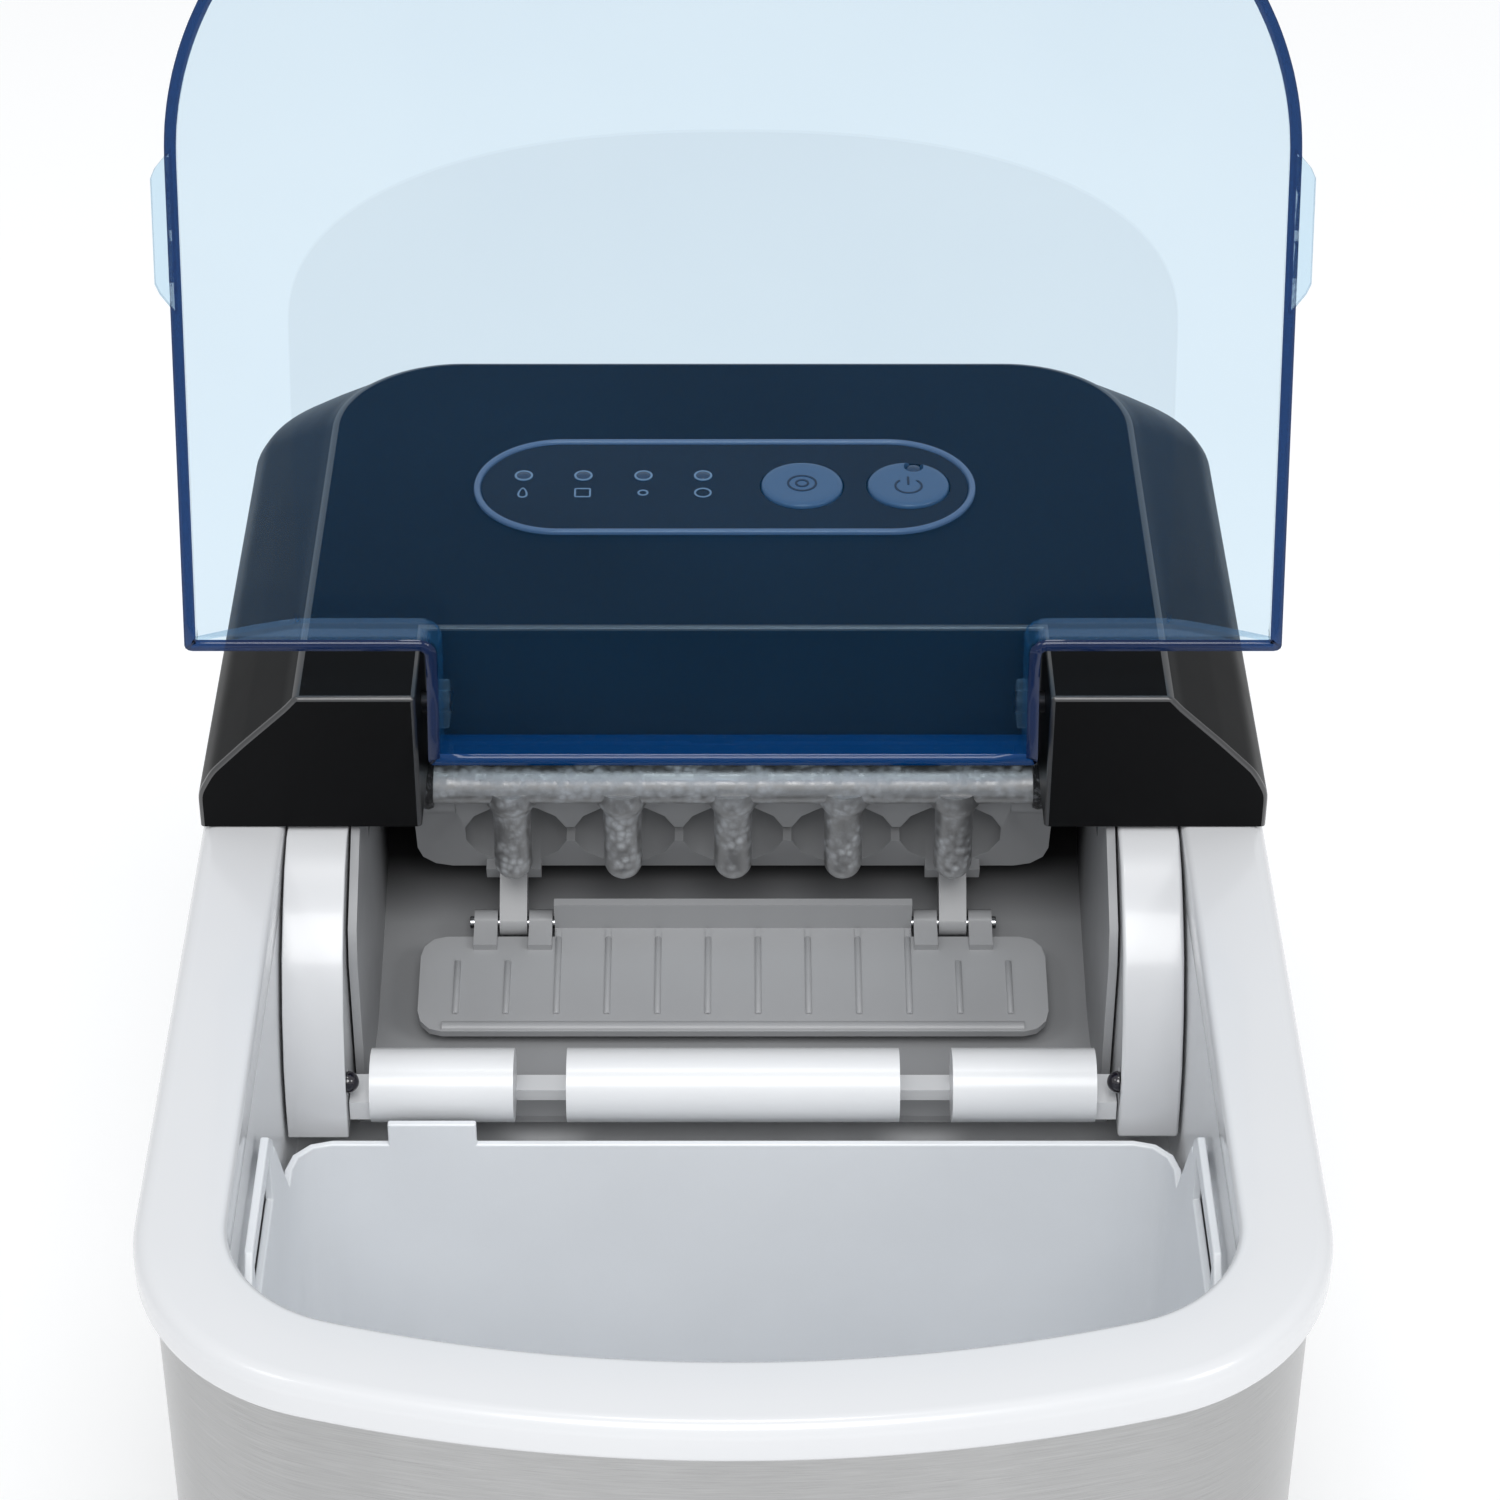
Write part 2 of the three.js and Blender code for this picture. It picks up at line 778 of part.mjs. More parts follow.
function bentTube(radius, sides) {
  const straight = rodX(radius, -bendStart - 0.5, bendStart + 0.5, tubeY, tubeZ, sides);
  return [
    straight,
    pipe(tubePath.slice(0, 4), radius, 6, sides),
    pipe(tubePath.slice(5), radius, 6, sides),
  ];
}
place('evaporator', join(...bentTube(tubeRadius, 12), ...fingers), nickel);

for (const [name, side] of [['foam_sleeve_left', -1], ['foam_sleeve_right', 1]]) {
  const path = tubePath.slice(5).map(([x, y, z]) => [side * x, y, z]);
  path[0] = [side * (bendStart + 2), tubeY, tubeZ];
  path[2] = [side * (riserX - 1.2), tubeY, rimTop - 2.6];
  path.pop();
  const inner = tubePath.slice(5).map(([x, y, z]) => [side * x, y, z]);
  const bore = tubeRadius + seam;
  place(name, cut(
    pipe(path, tubeRadius + foamThickness, 6, 12),
    pipe(inner, bore, 6, 12),
    rodX(bore, Math.min(side * 50, side * (bendStart + 0.5)),
      Math.max(side * 50, side * (bendStart + 0.5)), tubeY, tubeZ, 12),
    box(-100, 100, 0, 100, rimTop - 0.2, hoodTop),
  ), blackMatt);
}

// -------------------------------------------------------------- water tray
// Drawn level, in its freezing pose, and turned back into the harvest pose.

const trayGroup = turnedGroup(trayPivotY, trayPivotZ, trayTilt);
const cupTop = trayRim;
const cupBottom = trayRim - cupDepth;
const cups = [];
const bores = [];
for (let i = 0; i < fingerCount; i += 1) {
  const x = (i - (fingerCount - 1) / 2) * fingerPitch;
  const outerTop = cupBore + cupWall;
  cups.push(turned([
    [0, cupBottom - cupWall],
    [8, cupBottom - cupWall],
    [outerTop, cupTop - 8],
    [outerTop, cupTop - 0.5],
    [0, cupTop - 0.5],
  ], x, tubeY, 14));
  bores.push(turned([
    [0, cupBottom],
    [7.4, cupBottom],
    [cupBore, cupTop - 8],
    [cupBore, cupTop + 1],
    [0, cupTop + 1],
  ], x, tubeY, 14));
}
const fingerSpan = ((fingerCount - 1) / 2) * fingerPitch;
const hubSpan = 3.4;
const trayPlan = rounded(-trayHalf, trayHalf, trayFrontY, trayRearY, 8);
const armStart = [trayFrontY + 2, trayRim - 1];

// where the shovel pin lies while the tray is level
const restPin = [shovelPinY - trayPivotY, shovelPinZ - trayPivotZ];
const back = radians(-trayTilt);
const levelPin = [
  trayPivotY + restPin[0] * Math.cos(back) - restPin[1] * Math.sin(back),
  trayPivotZ + restPin[0] * Math.sin(back) + restPin[1] * Math.cos(back),
];
const armEye = 3.2;
function arm(x) {
  const [py, pz] = levelPin;
  const [ay, az] = armStart;
  const length = Math.hypot(py - ay, pz - az);
  const ny = (-(pz - az) / length) * armEye;
  const nz = ((py - ay) / length) * armEye;
  const profile = [
    [ay + ny, az + nz],
    [py + ny, pz + nz],
    [py - ny, pz - nz],
    [ay - ny, az - nz],
  ];
  return [
    sideProfile(profile, x - armWidth / 2, x + armWidth / 2),
    rodX(armEye, x - armWidth / 2, x + armWidth / 2, py, pz, 16),
    box(x - armWidth, x + armWidth, trayFrontY - 0.6, trayFrontY + 3, trayRim - 6, trayRim + 3),
  ];
}
const axleOut = chamberOuter + 5;
place('water_tray', cut(
  join(
    prism(trayPlan, trayRim - trayPlate, trayRim),
    ...cups,
    rodX(hubRadius, trayHalf - 10, trayHalf + hubSpan, trayPivotY, trayPivotZ, 16),
    rodX(hubRadius, -trayHalf - hubSpan, 10 - trayHalf, trayPivotY, trayPivotZ, 16),
    rodX(axleRadius, -axleOut, -trayHalf, trayPivotY, trayPivotZ, 16),
    ...arm(-armX),
    ...arm(armX),
  ),
  ...bores,
  box(-fingerSpan, fingerSpan, tubeY - 3, tubeY + 3, cupTop - 15, cupTop + 1),
  rodX(2.8, trayHalf - 8, trayHalf + hubSpan + 1, trayPivotY, trayPivotZ, 16),
  rodX(pinRadius + 0.25, -armX - armWidth, armX + armWidth, levelPin[0], levelPin[1], 12),
), grey, trayGroup);

const motorX = chamberOuter + 1.4;
place('tray_motor', join(
  rodX(18, motorX, blockOuter, trayPivotY, trayPivotZ, 24),
  rodX(2.5, trayHalf - 7, motorX + 1, trayPivotY, trayPivotZ, 16),
), metal(0x9ea1a4, 0.45));

// ------------------------------------------------------------ shovel plate
// Drawn flat with its pin at the origin of the profile, then set on its slope.

const shovelGroup = turnedGroup(shovelPinY, shovelPinZ, shovelSlope);
const plateTop = shovelPinZ + 0.6;
const plateRear = shovelPinY - armEye - 1.6;
const plateFront = shovelPinY - shovelLength;
const lugs = [];
const lugOffset = armWidth / 2 + 0.5;
for (const x of [-armX, armX]) {
  for (const side of [-1, 1]) {
    const inner = x + side * lugOffset;
    const outer = inner + side * lugWidth;
    const x0 = Math.min(inner, outer);
    lugs.push(rodX(armEye, x0, x0 + lugWidth, shovelPinY, shovelPinZ, 14));
    lugs.push(box(x0, x0 + lugWidth, plateRear - 4, shovelPinY, shovelPinZ - 1.6,
      shovelPinZ + 2.6));
  }
}
const flangeHalf = armX - lugOffset - lugWidth - 0.6;
const ribs = [];
for (let i = 0; i < ribCount; i += 1) {
  const x = (i - (ribCount - 1) / 2) * ribPitch;
  const long = Math.abs(x) < flangeHalf;
  ribs.push(box(x - 0.6, x + 0.6, plateFront + 5, long ? plateRear + 2 : plateRear - 7,
    plateTop - 0.5, plateTop + 0.5));
}
place('shovel_plate', cut(
  join(
    prism(rounded(-shovelHalf, shovelHalf, plateFront, plateRear, 6),
      plateTop - shovelThickness, plateTop),
    box(-flangeHalf, flangeHalf, plateRear - 3, plateRear + 4.6, plateTop - shovelThickness,
      plateTop),
    box(-flangeHalf, flangeHalf, plateRear + 2.6, plateRear + 4.6, plateTop - shovelThickness,
      plateTop + shovelFlange),
    rodX(1.7, -shovelHalf + 6, shovelHalf - 6, plateFront + 1.7, plateTop - 0.9, 10),
    ...lugs,
    ...ribs,
  ),
  rodX(pinRadius + 0.25, -shovelHalf - 1, shovelHalf + 1, shovelPinY, shovelPinZ, 12),
), grey, shovelGroup);

for (const [name, x] of [['shovel_pin_left', -armX], ['shovel_pin_right', armX]]) {
  const reach = lugOffset + lugWidth + 1.2;
  place(name, rodX(pinRadius, x - reach, x + reach, shovelPinY, shovelPinZ, 12), steel,
    shovelGroup);
}

// --------------------------------------------------------------------- hood

// Convex outline of the hood, pulled in by a wall thickness.
function hoodBlock(inset, bottom) {
  const half = bodyWidth / 2 - inset;
  const front = hoodFrontY + inset;
  const rear = rearY - 1 - inset;
  const top = hoodTop - inset;
  const ridge = hoodRidgeHalf - inset * 0.6;
  const points = [];
  for (const s of [-1, 1]) {
    for (const z of [bottom, hoodShoulderZ]) {
      points.push([s * half, front, z], [s * half, rear - rearRadius, z]);
      points.push([s * (half - 8), rear - 9, z], [s * (half - rearRadius), rear, z]);
    }
    points.push([s * (half - 3.2), front, hoodShoulderZ + 6]);
    points.push([s * (half - 3.2), rear - rearRadius - 3, hoodShoulderZ + 6]);
    points.push([s * (half - 11), front, hoodShoulderZ + 14]);
    points.push([s * (half - 11), rear - rearRadius - 8, hoodShoulderZ + 14]);
    points.push([s * (ridge + 1), front, top - 3], [s * ridge, front + 0.9, top - 0.9]);
    points.push([s * (ridge - 1), front + 3, top]);
    points.push([s * ridge, hoodRearTopY - 30, top]);
    points.push([s * (ridge - 6), hoodRearTopY - 12, top], [s * (ridge - 20), hoodRearTopY, top]);
    points.push([s * (ridge - 16), rear - 7, hoodShoulderZ + 10]);
  }
  return hull(points);
}

const hoodBottom = rimTop + seam;
const hoodCavity = cut(
  hoodBlock(hoodWall, hoodBottom - 4),
  box(-recessHalf - hoodWall, recessHalf + hoodWall, 0, recessRearY + hoodWall, 200, 400),
);
const boardHalfX = 62;
const boardHalfY = 23;
const posts = [];
for (const sx of [-1, 1]) {
  for (const sy of [-1, 1]) {
    posts.push(rodZ(2.8, panelX + sx * (boardHalfX - 4), panelY + sy * (boardHalfY - 3),
      boardTop + seam, hoodTop - 1, 12));
  }
}
const hoodHole = stadium(panelX, panelY, panelLength - 4, panelBreadth - 4);
const pinHoleRadius = hingePinRadius + 0.15;
place('hood', cut(
  join(
    cut(
      hoodBlock(0, hoodBottom),
      box(-recessHalf, recessHalf, 0, recessRearY, 200, 400),
      hoodCavity,
    ),
    ...posts,
  ),
  prism(hoodHole, hoodTop - hoodWall - 3, hoodTop + 2),
  rodX(pinHoleRadius, -recessHalf - 5, -recessHalf + 1, hingeY, hingeZ, 16),
  rodX(pinHoleRadius, recessHalf - 1, recessHalf + 5, hingeY, hingeZ, 16),
), blackGloss);

// ------------------------------------------------------------ control panel

const bezelWall = stadium(panelX, panelY, panelLength - 4.6, panelBreadth - 4.6);
const overlayLength = panelLength - 2 * bezelRim - 2 * seam;
const overlayBreadth = panelBreadth - 2 * bezelRim - 2 * seam;
const bezelTop = hoodTop + bezelProud;
const overlayTop = bezelTop - 0.7;
const overlayBottom = overlayTop - 2;
place('panel_bezel', cut(
  join(
    prism(stadium(panelX, panelY, panelLength, panelBreadth), hoodTop + seam, bezelTop),
    prism(bezelWall, hoodTop - 4, hoodTop + 1),
  ),
  prism(stadium(panelX, panelY, panelLength - 2 * bezelRim, panelBreadth - 2 * bezelRim),
    overlayBottom - seam, bezelTop + 1),
  prism(stadium(panelX, panelY, panelLength - 11, panelBreadth - 11), hoodTop - 6, bezelTop + 1),
), plastic(0x6f8196, 0.3));

const buttons = [['select_button', 16.5], ['power_button', 41.9]];
const ledX = [-50.2, -35.9, -21.5, -7.2];
const ledY = panelY + 4.5;
const powerLed = [43.4, panelY + 7.5];
place('panel_overlay', cut(
  prism(stadium(panelX, panelY, overlayLength, overlayBreadth), overlayBottom, overlayTop),
  ...ledX.map((x) => rodZ(ledRadius + 0.25, x, ledY, overlayBottom - 1, overlayTop + 1, 14)),
  ...buttons.map(([, x]) => rodZ(buttonRadius + buttonGap, x, panelY, overlayBottom - 1,
    overlayTop + 1, 28)),
), blackGloss);

const switchTop = boardTop + 3;
for (const [name, x] of buttons) {
  const cap = join(
    rodZ(buttonRadius, x, panelY, overlayBottom + 0.4, overlayTop + 1, 28, buttonRadius - 0.3),
    rodZ(2.6, x, panelY, switchTop + 1, overlayBottom + 1, 12),
  );
  const notch = rodZ(ledRadius + 0.4, powerLed[0], powerLed[1], 300, 340, 14);
  place(name, name === 'power_button' ? cut(cap, notch) : cap, plastic(0x9fb0c2, 0.35));
}

const board = join(
  prism(rounded(panelX - boardHalfX, panelX + boardHalfX, panelY - boardHalfY,
    panelY + boardHalfY, 3, 2), boardTop - 1.6, boardTop),
  ...buttons.map(([, x]) => box(x - 3, x + 3, panelY - 3, panelY + 3, boardTop - 0.5, switchTop)),
  box(-50, -36, panelY - 19, panelY - 10, boardTop - 10, boardTop - 1),
  box(-20, 0, panelY - 19, panelY - 10, boardTop - 7, boardTop - 1),
);
place('control_board', board, plastic(0x1d6b3a, 0.5));

const lensProfile = (x, y) => turned([
  [0, boardTop + seam],
  [ledRadius, boardTop + seam],
  [ledRadius, overlayTop + 0.1],
  [ledRadius * 0.7, overlayTop + 0.5],
  [0, overlayTop + 0.6],
], x, y, 12);
ledX.forEach((x, i) => {
  place(`led_${i + 1}`, lensProfile(x, ledY), plastic(0xc9d4e2, 0.2));
});
place('led_power', lensProfile(powerLed[0], powerLed[1]), plastic(0xc9d4e2, 0.2));

// ----------------------------------------------------------------------- lid
// Drawn closed on the rim and turned open about the hinge.

const lidGroup = turnedGroup(hingeY, hingeZ, -lidOpen);
const lidBase = rimTop + 0.4;

function lidBlock(inset, bottom) {
  const half = halfPlan(lidHalf, lidFrontY, lidFrontRadius, lidCorner, inset, 9);
  const outline = mirrored(half);
  const skirt = lidBase + lidSkirt;
  const top = lidBase + lidRise - inset;
  const rear = lidRearY - inset;
  const panel = lidPanelHalf - inset * 0.55;
  const points = [];
  for (const [x, y] of outline) {
    points.push([x, y, bottom], [x, y, skirt]);
  }
  for (const s of [-1, 1]) {
    points.push([s * (lidHalf - inset), rear, bottom], [s * (lidHalf - inset), rear, skirt]);
    points.push([s * panel, rear - 3, top], [s * (panel + 3), rear, top - 3.4]);
    points.push([s * panel, lidRearY - 80, top]);
    points.push([s * (panel - 9), lidRearY - 95, top], [s * 71, lidRearY - 106, top]);
    points.push([s * 36, lidRearY - 112.5, top]);
  }
  points.push([0, lidRearY - 115, top]);
  return hull(points);
}

function hingeBlock(inset, bottom) {
  const x = lidHingeHalf - inset;
  const rear = lidHingeRearY - inset;
  const top = lidBase + lidRise - inset;
  const front = lidRearY - 10;
  return sideProfile([
    [front, bottom],
    [rear, bottom],
    [rear, top - 3],
    [rear - 2, top],
    [front, top],
  ], -x, x);
}

const tabRear = lidRearY - 75;
const tabFront = lidRearY - 111;
const gripOut = lidHalf + 3.3;
function gripTab(side) {
  const points = [
    [side * (lidHalf - 1.5), tabFront],
    [side * gripOut, tabFront + 6],
    [side * gripOut, tabRear - 6],
    [side * (lidHalf - 1.5), tabRear],
  ];
  return prism(side > 0 ? points : points.reverse(), lidBase, lidBase + 2.4);
}

const lugInner = lidHingeHalf - 3.6;
function hingeLug(side) {
  const x0 = Math.min(side * lugInner, side * lidHingeHalf);
  const x1 = x0 + lidHingeHalf - lugInner;
  return [
    rodX(5.2, x0, x1, hingeY, hingeZ, 18),
    sideProfile([
      [hingeY - 9, lidBase + lidRise - 1],
      [hingeY + 6, lidBase + lidRise - 1],
      [hingeY + 4.6, hingeZ],
      [hingeY - 4.6, hingeZ],
    ], x0, x1),
  ];
}

place('lid', cut(
  join(
    cut(
      join(lidBlock(0, lidBase), hingeBlock(0, lidBase + lidHingeSkirt)),
      lidBlock(lidWall, lidBase - 1),
      hingeBlock(lidWall, lidBase - 1),
    ),
    gripTab(-1),
    gripTab(1),
    ...hingeLug(-1),
    ...hingeLug(1),
  ),
  rodX(hingePinRadius + hingePinGap, -lidHingeHalf - 1, lidHingeHalf + 1, hingeY, hingeZ, 16),
), tint, lidGroup);

for (const [name, side] of [['lid_pin_left', -1], ['lid_pin_right', 1]]) {
  const ends = [side * (lugInner - 0.5), side * (recessHalf + hoodWall + 3)].sort((a, b) => a - b);
  const head = [side * (recessHalf + hoodWall + seam), side * (recessHalf + hoodWall + 3)].sort(
    (a, b) => a - b,
  );
  place(name, join(
    rodX(hingePinRadius, ends[0], ends[1], hingeY, hingeZ, 16),
    rodX(hingePinRadius + 2, head[0], head[1], hingeY, hingeZ, 16),
  ), steel);
}

// -------------------------------------------------------------- cooling set

const plateZ = floorTop + mountHeight + 2 * seam;
const mountX = 40;
const mountY = 32;
place('compressor', join(
  turned([
    [0, plateZ + 1],
    [30, plateZ + 1],
    [compressorRadius - 3, plateZ + 10],
    [compressorRadius, plateZ + 26],
    [compressorRadius, compressorTop - 28],
    [compressorRadius - 6, compressorTop - 12],
    [compressorRadius - 22, compressorTop - 2],
    [0, compressorTop],
  ], compressorX, compressorY, 28),
  box(compressorX - mountX - 9, compressorX + mountX + 9, compressorY - mountY - 8,
    compressorY + mountY + 8, plateZ, plateZ + 2.5),
  rodZ(4, compressorX - 20, compressorY, compressorTop - 12, compressorTop + 9, 12),
  rodZ(3, compressorX + 18, compressorY, compressorTop - 12, compressorTop + 9, 12),
), blackGloss);

let mountIndex = 0;
for (const sx of [-1, 1]) {
  for (const sy of [-1, 1]) {
    mountIndex += 1;
    const x = compressorX + sx * mountX;
    const y = compressorY + sy * mountY;
    place(`compressor_mount_${mountIndex}`, turned([
      [0, floorTop + seam],
      [8, floorTop + seam],
      [6, floorTop + mountHeight / 2],
      [8, floorTop + mountHeight + seam],
      [0, floorTop + mountHeight + seam],
    ], x, y, 14), rubber);
  }
}

const coolerTop = fanZ + coolerHalf;
const coolerBottom = fanZ - coolerHalf;
const fins = [];
const finCount = 9;
for (let i = 0; i < finCount; i += 1) {
  const x = fanX - coolerHalf + 4 + (i * (2 * coolerHalf - 9)) / (finCount - 1);
  fins.push(box(x, x + 1, condenserY, condenserY + condenserDepth, coolerBottom, coolerTop));
}
const coils = [];
for (let i = 0; i < 4; i += 1) {
  coils.push(rodX(3.5, fanX - coolerHalf, fanX + coolerHalf, condenserY + condenserDepth / 2,
    coolerBottom + 18 + i * 28, 6));
}
const condenserStub = [fanX - coolerHalf + 6, condenserY + condenserDepth / 2];
place('condenser', join(
  ...fins,
  ...coils,
  rodZ(3, condenserStub[0], condenserStub[1], coolerTop - 18, coolerTop + 4, 10),
  rodZ(3, fanX + coolerHalf - 6, condenserStub[1], coolerTop - 18, coolerTop + 4, 10),
), aluminium);

const shroudBack = condenserY - 2;
const shroudFront = shroudBack - 12;
const spokeZ = fanRadius + fanClearance + 2;
place('fan_shroud', cut(
  join(
    cut(
      box(fanX - coolerHalf, fanX + coolerHalf, shroudFront, shroudBack, coolerBottom, coolerTop),
      rodY(fanRadius + fanClearance, fanX, shroudFront - 1, shroudBack + 1, fanZ, 32),
    ),
    box(fanX - spokeZ, fanX + spokeZ, shroudFront, shroudFront + 2.4, fanZ - 3, fanZ + 3),
    box(fanX - 3, fanX + 3, shroudFront, shroudFront + 2.4, fanZ - spokeZ, fanZ + spokeZ),
    rodY(14, fanX, shroudFront, shroudFront + 2.4, fanZ, 20),
  ),
  rodY(3, fanX, shroudFront - 1, shroudFront + 4, fanZ, 12),
), blackMatt);

place('fan_motor', join(
  rodY(16, fanX, shroudFront - 24, shroudFront - seam, fanZ, 20),
  rodY(2, fanX, shroudFront - 1, shroudBack - 3, fanZ, 12),
), metal(0x8c8f93, 0.5));

const hubFront = shroudFront + 3;
const hubBack = shroudBack - 1;
const blades = [];
const bladeCount = 5;
for (let i = 0; i < bladeCount; i += 1) {
  const blade = new THREE.BoxGeometry(20, 1.6, fanRadius - 10);
  blade.rotateZ(radians(20));
  blade.translate(0, (hubFront + hubBack) / 2, 9 + (fanRadius - 10) / 2);
  blade.rotateY((2 * Math.PI * i) / bladeCount);
  blade.translate(fanX, 0, fanZ);
  blades.push(blade);
}
place('fan_blade', cut(
  join(rodY(12, fanX, hubFront, hubBack, fanZ, 20), ...blades),
  rodY(2.3, fanX, hubFront - 1, shroudBack - 2, fanZ, 12),
), blackMatt);

place('water_pump', join(
  rodZ(15, pumpX, pumpY, floorTop + 16, floorTop + 51, 20),
  box(pumpX - 18, pumpX + 18, pumpY - 10, pumpY + 12, floorTop + seam, floorTop + 18),
  rodY(3.1, pumpX, tubRearY + 3, pumpY - 8, pumpPortZ, 12),
  rodZ(3.4, pumpX, pumpY + 6, floorTop + 48, floorTop + 62, 12),
), plastic(0xd9dadb, 0.5));

const ductY = chamberRearY + 22;
place('water_hose', pipe([
  [pumpX, pumpY + 6, floorTop + 62.4],
  [pumpX, pumpY + 8, floorTop + 90],
  [-92, 60, 165],
  [-90, ductY, 205],
  [-90, ductY, 287],
  [-89, chamberRearY + 4, 299],
  [-84, 74, 297],
  [-80.6, nozzleY + 1, nozzleZ + 8],
  [-80.6, nozzleY, nozzleZ],
], 3.2, 32, 6), plastic(0xd6dade, 0.3));

const dropX = riserX;
place('suction_line', pipe([
  [compressorX - 20, compressorY, compressorTop + 10.6],
  [compressorX - 20, compressorY + 6, compressorTop + 34],
  [compressorX - 4, ductY - 8, 196],
  [dropX - 10, ductY, 232],
  [dropX, ductY, 285],
  [dropX, chamberRearY, 307],
  [dropX, tubeY + 16, 311],
  [dropX, tubeY, riserTop + 7],
  [dropX, tubeY, riserTop + 0.4],
], 3.8, 32), copper);

const drierY = ductY + 2;
const drierX = -riserX + 3;
place('filter_drier', join(
  rodZ(7, drierX, drierY, 186, 236, 16),
  rodZ(3, drierX, drierY, 178, 244, 10),
  pipe([
    [drierX, drierY, 179],
    [drierX, drierY + 8, 170],
    [condenserStub[0], condenserStub[1] - 8, 166],
    [condenserStub[0], condenserStub[1], coolerTop + 6],
  ], 2.6, 10, 6),
), copper);

place('capillary_line', pipe([
  [drierX, drierY, 244.4],
  [drierX, drierY, 285],
  [drierX - 1, chamberRearY + 4, 308],
  [-riserX, tubeY + 18, 312],
  [-riserX, tubeY, riserTop + 7],
  [-riserX, tubeY, riserTop + 0.4],
], 2.6, 22, 6), copper);

place('discharge_line', pipe([
  [compressorX + 18, compressorY, compressorTop + 10.6],
  [compressorX + 18, compressorY + 6, compressorTop + 26],
  [fanX + coolerHalf + 12, condenserStub[1] - 20, 182],
  [fanX + coolerHalf - 6, condenserStub[1], 172],
  [fanX + coolerHalf - 6, condenserStub[1], coolerTop + 6],
], 2.8, 20, 6), copper);

export default machine;
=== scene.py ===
"""Countertop ice maker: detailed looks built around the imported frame."""

from math import acos, atan2, cos, pi, radians, sin, sqrt

import bmesh
import bpy
import numpy as np
from bpy.props import FloatProperty, FloatVectorProperty, PointerProperty
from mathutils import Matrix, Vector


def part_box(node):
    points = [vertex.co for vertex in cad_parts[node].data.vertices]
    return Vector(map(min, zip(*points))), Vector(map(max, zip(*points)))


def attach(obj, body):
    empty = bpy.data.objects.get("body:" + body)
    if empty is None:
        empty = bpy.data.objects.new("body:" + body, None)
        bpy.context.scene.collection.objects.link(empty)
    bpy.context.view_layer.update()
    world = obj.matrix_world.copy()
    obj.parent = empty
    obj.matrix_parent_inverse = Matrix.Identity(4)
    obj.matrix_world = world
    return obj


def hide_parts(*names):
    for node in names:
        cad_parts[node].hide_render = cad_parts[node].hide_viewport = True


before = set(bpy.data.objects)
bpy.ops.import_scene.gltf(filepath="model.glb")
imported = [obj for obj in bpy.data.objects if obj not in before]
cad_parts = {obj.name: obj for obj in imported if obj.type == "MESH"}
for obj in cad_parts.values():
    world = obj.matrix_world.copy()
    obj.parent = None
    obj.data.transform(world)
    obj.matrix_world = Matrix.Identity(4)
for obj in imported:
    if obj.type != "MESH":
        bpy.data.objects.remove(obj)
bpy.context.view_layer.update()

bl_info = {
    "name": "Countertop Ice Maker",
    "version": (1, 0, 0),
    "blender": (4, 5, 0),
    "location": "View3D > Sidebar > Ice Maker",
    "description": "Builds a countertop ice maker around its packed frame",
    "category": "Add Mesh",
}

# Lengths are in millimetres: x to the right, y to the back, z up from the table.
MM = 0.001
TAU = 2 * pi
HALF, FRONT, REAR = 121.0, -179.0, 179.0
BOW, CORNER, REAR_CORNER = 307.0, 50.0, 28.0
RIM_TOP, RIM_LOW, RIM_WIDTH, RIM_CORNER = 290.0, 280.0, 19.0, 6.0
CHAMBER_REAR = 90.6
HOOD_TOP, HOOD_TOP_HALF, HOOD_FRONT = 326.0, 97.5, 10.3
NOTCH_HALF, NOTCH_REAR = 70.7, 38.3
PANEL, PANEL_LENGTH, PANEL_BREADTH = (-2.0, 97.0), 120, 41.5
OVERLAY_TOP, KEY_TOP, MARK_LIFT = 326.8, 327.6, 0.12
LED_X, LED_Y = (-50.2, -35.9, -21.5, -7.2), 101.5
POWER_LED = (43.4, 104.5)
BUTTONS = {"select": 16.5, "power": 41.9}
HINGE = (27.08, 313.19)
LID_OPEN = radians(108.57)
LID_BASE, LID_RISE, LID_SKIRT = 290.4, 19.5, 3.0
LID_STEP, LID_REAR, TONGUE_HALF = 8.6, 36.0, 68.0
PANE_HALF, PANE_Y, PANE_DEPTH, PANE_POWER = 98.5, -60.0, 44.0, 2.3
FINGERS = [(i - 2) * 26.0 for i in range(5)]
TUBE_Y, TUBE_Z, RISER_X, TUBE_BEND = 38.0, 282.0, 79.9, 10
SHOVEL_PIVOT, SHOVEL_REST = (45, 235), radians(14)
FLOAT_PLACE, DRAIN_PLACE = (70, -60), (-60, 60)
LAMP_TARGET = (0, 0, 0.28)  # metres


# ---- outlines


def arc(cx, cy, radius, start, end, count):
    """Points of a circle about (cx, cy): centre + radius * (cos t, sin t), t from start to end."""
    t = np.linspace(start, end, count)
    return np.column_stack([cx + radius * np.cos(t), cy + radius * np.sin(t)])


def along(*parts):
    """The parts end to end, without the points that repeat where two parts meet."""
    points = np.vstack([np.atleast_2d(p) for p in parts])
    step = np.linalg.norm(np.diff(points, axis=0), axis=1)
    return points[np.concatenate([[True], step > 1e-6])]


def resampled(points, count):
    """The same line with count points, equally spaced by length."""
    points = np.asarray(points, float)
    length = np.concatenate([[0], np.cumsum(np.linalg.norm(np.diff(points, axis=0), axis=1))])
    at = np.linspace(0, length[-1], count)
    return np.column_stack([np.interp(at, length, points[:, k]) for k in range(points.shape[1])])


def mirrored(half):
    """A right half from the middle plane on, with its mirror image before it."""
    left = half[half[:, 0] > 1e-6][::-1] * (-1, 1)
    return np.vstack([left, half])


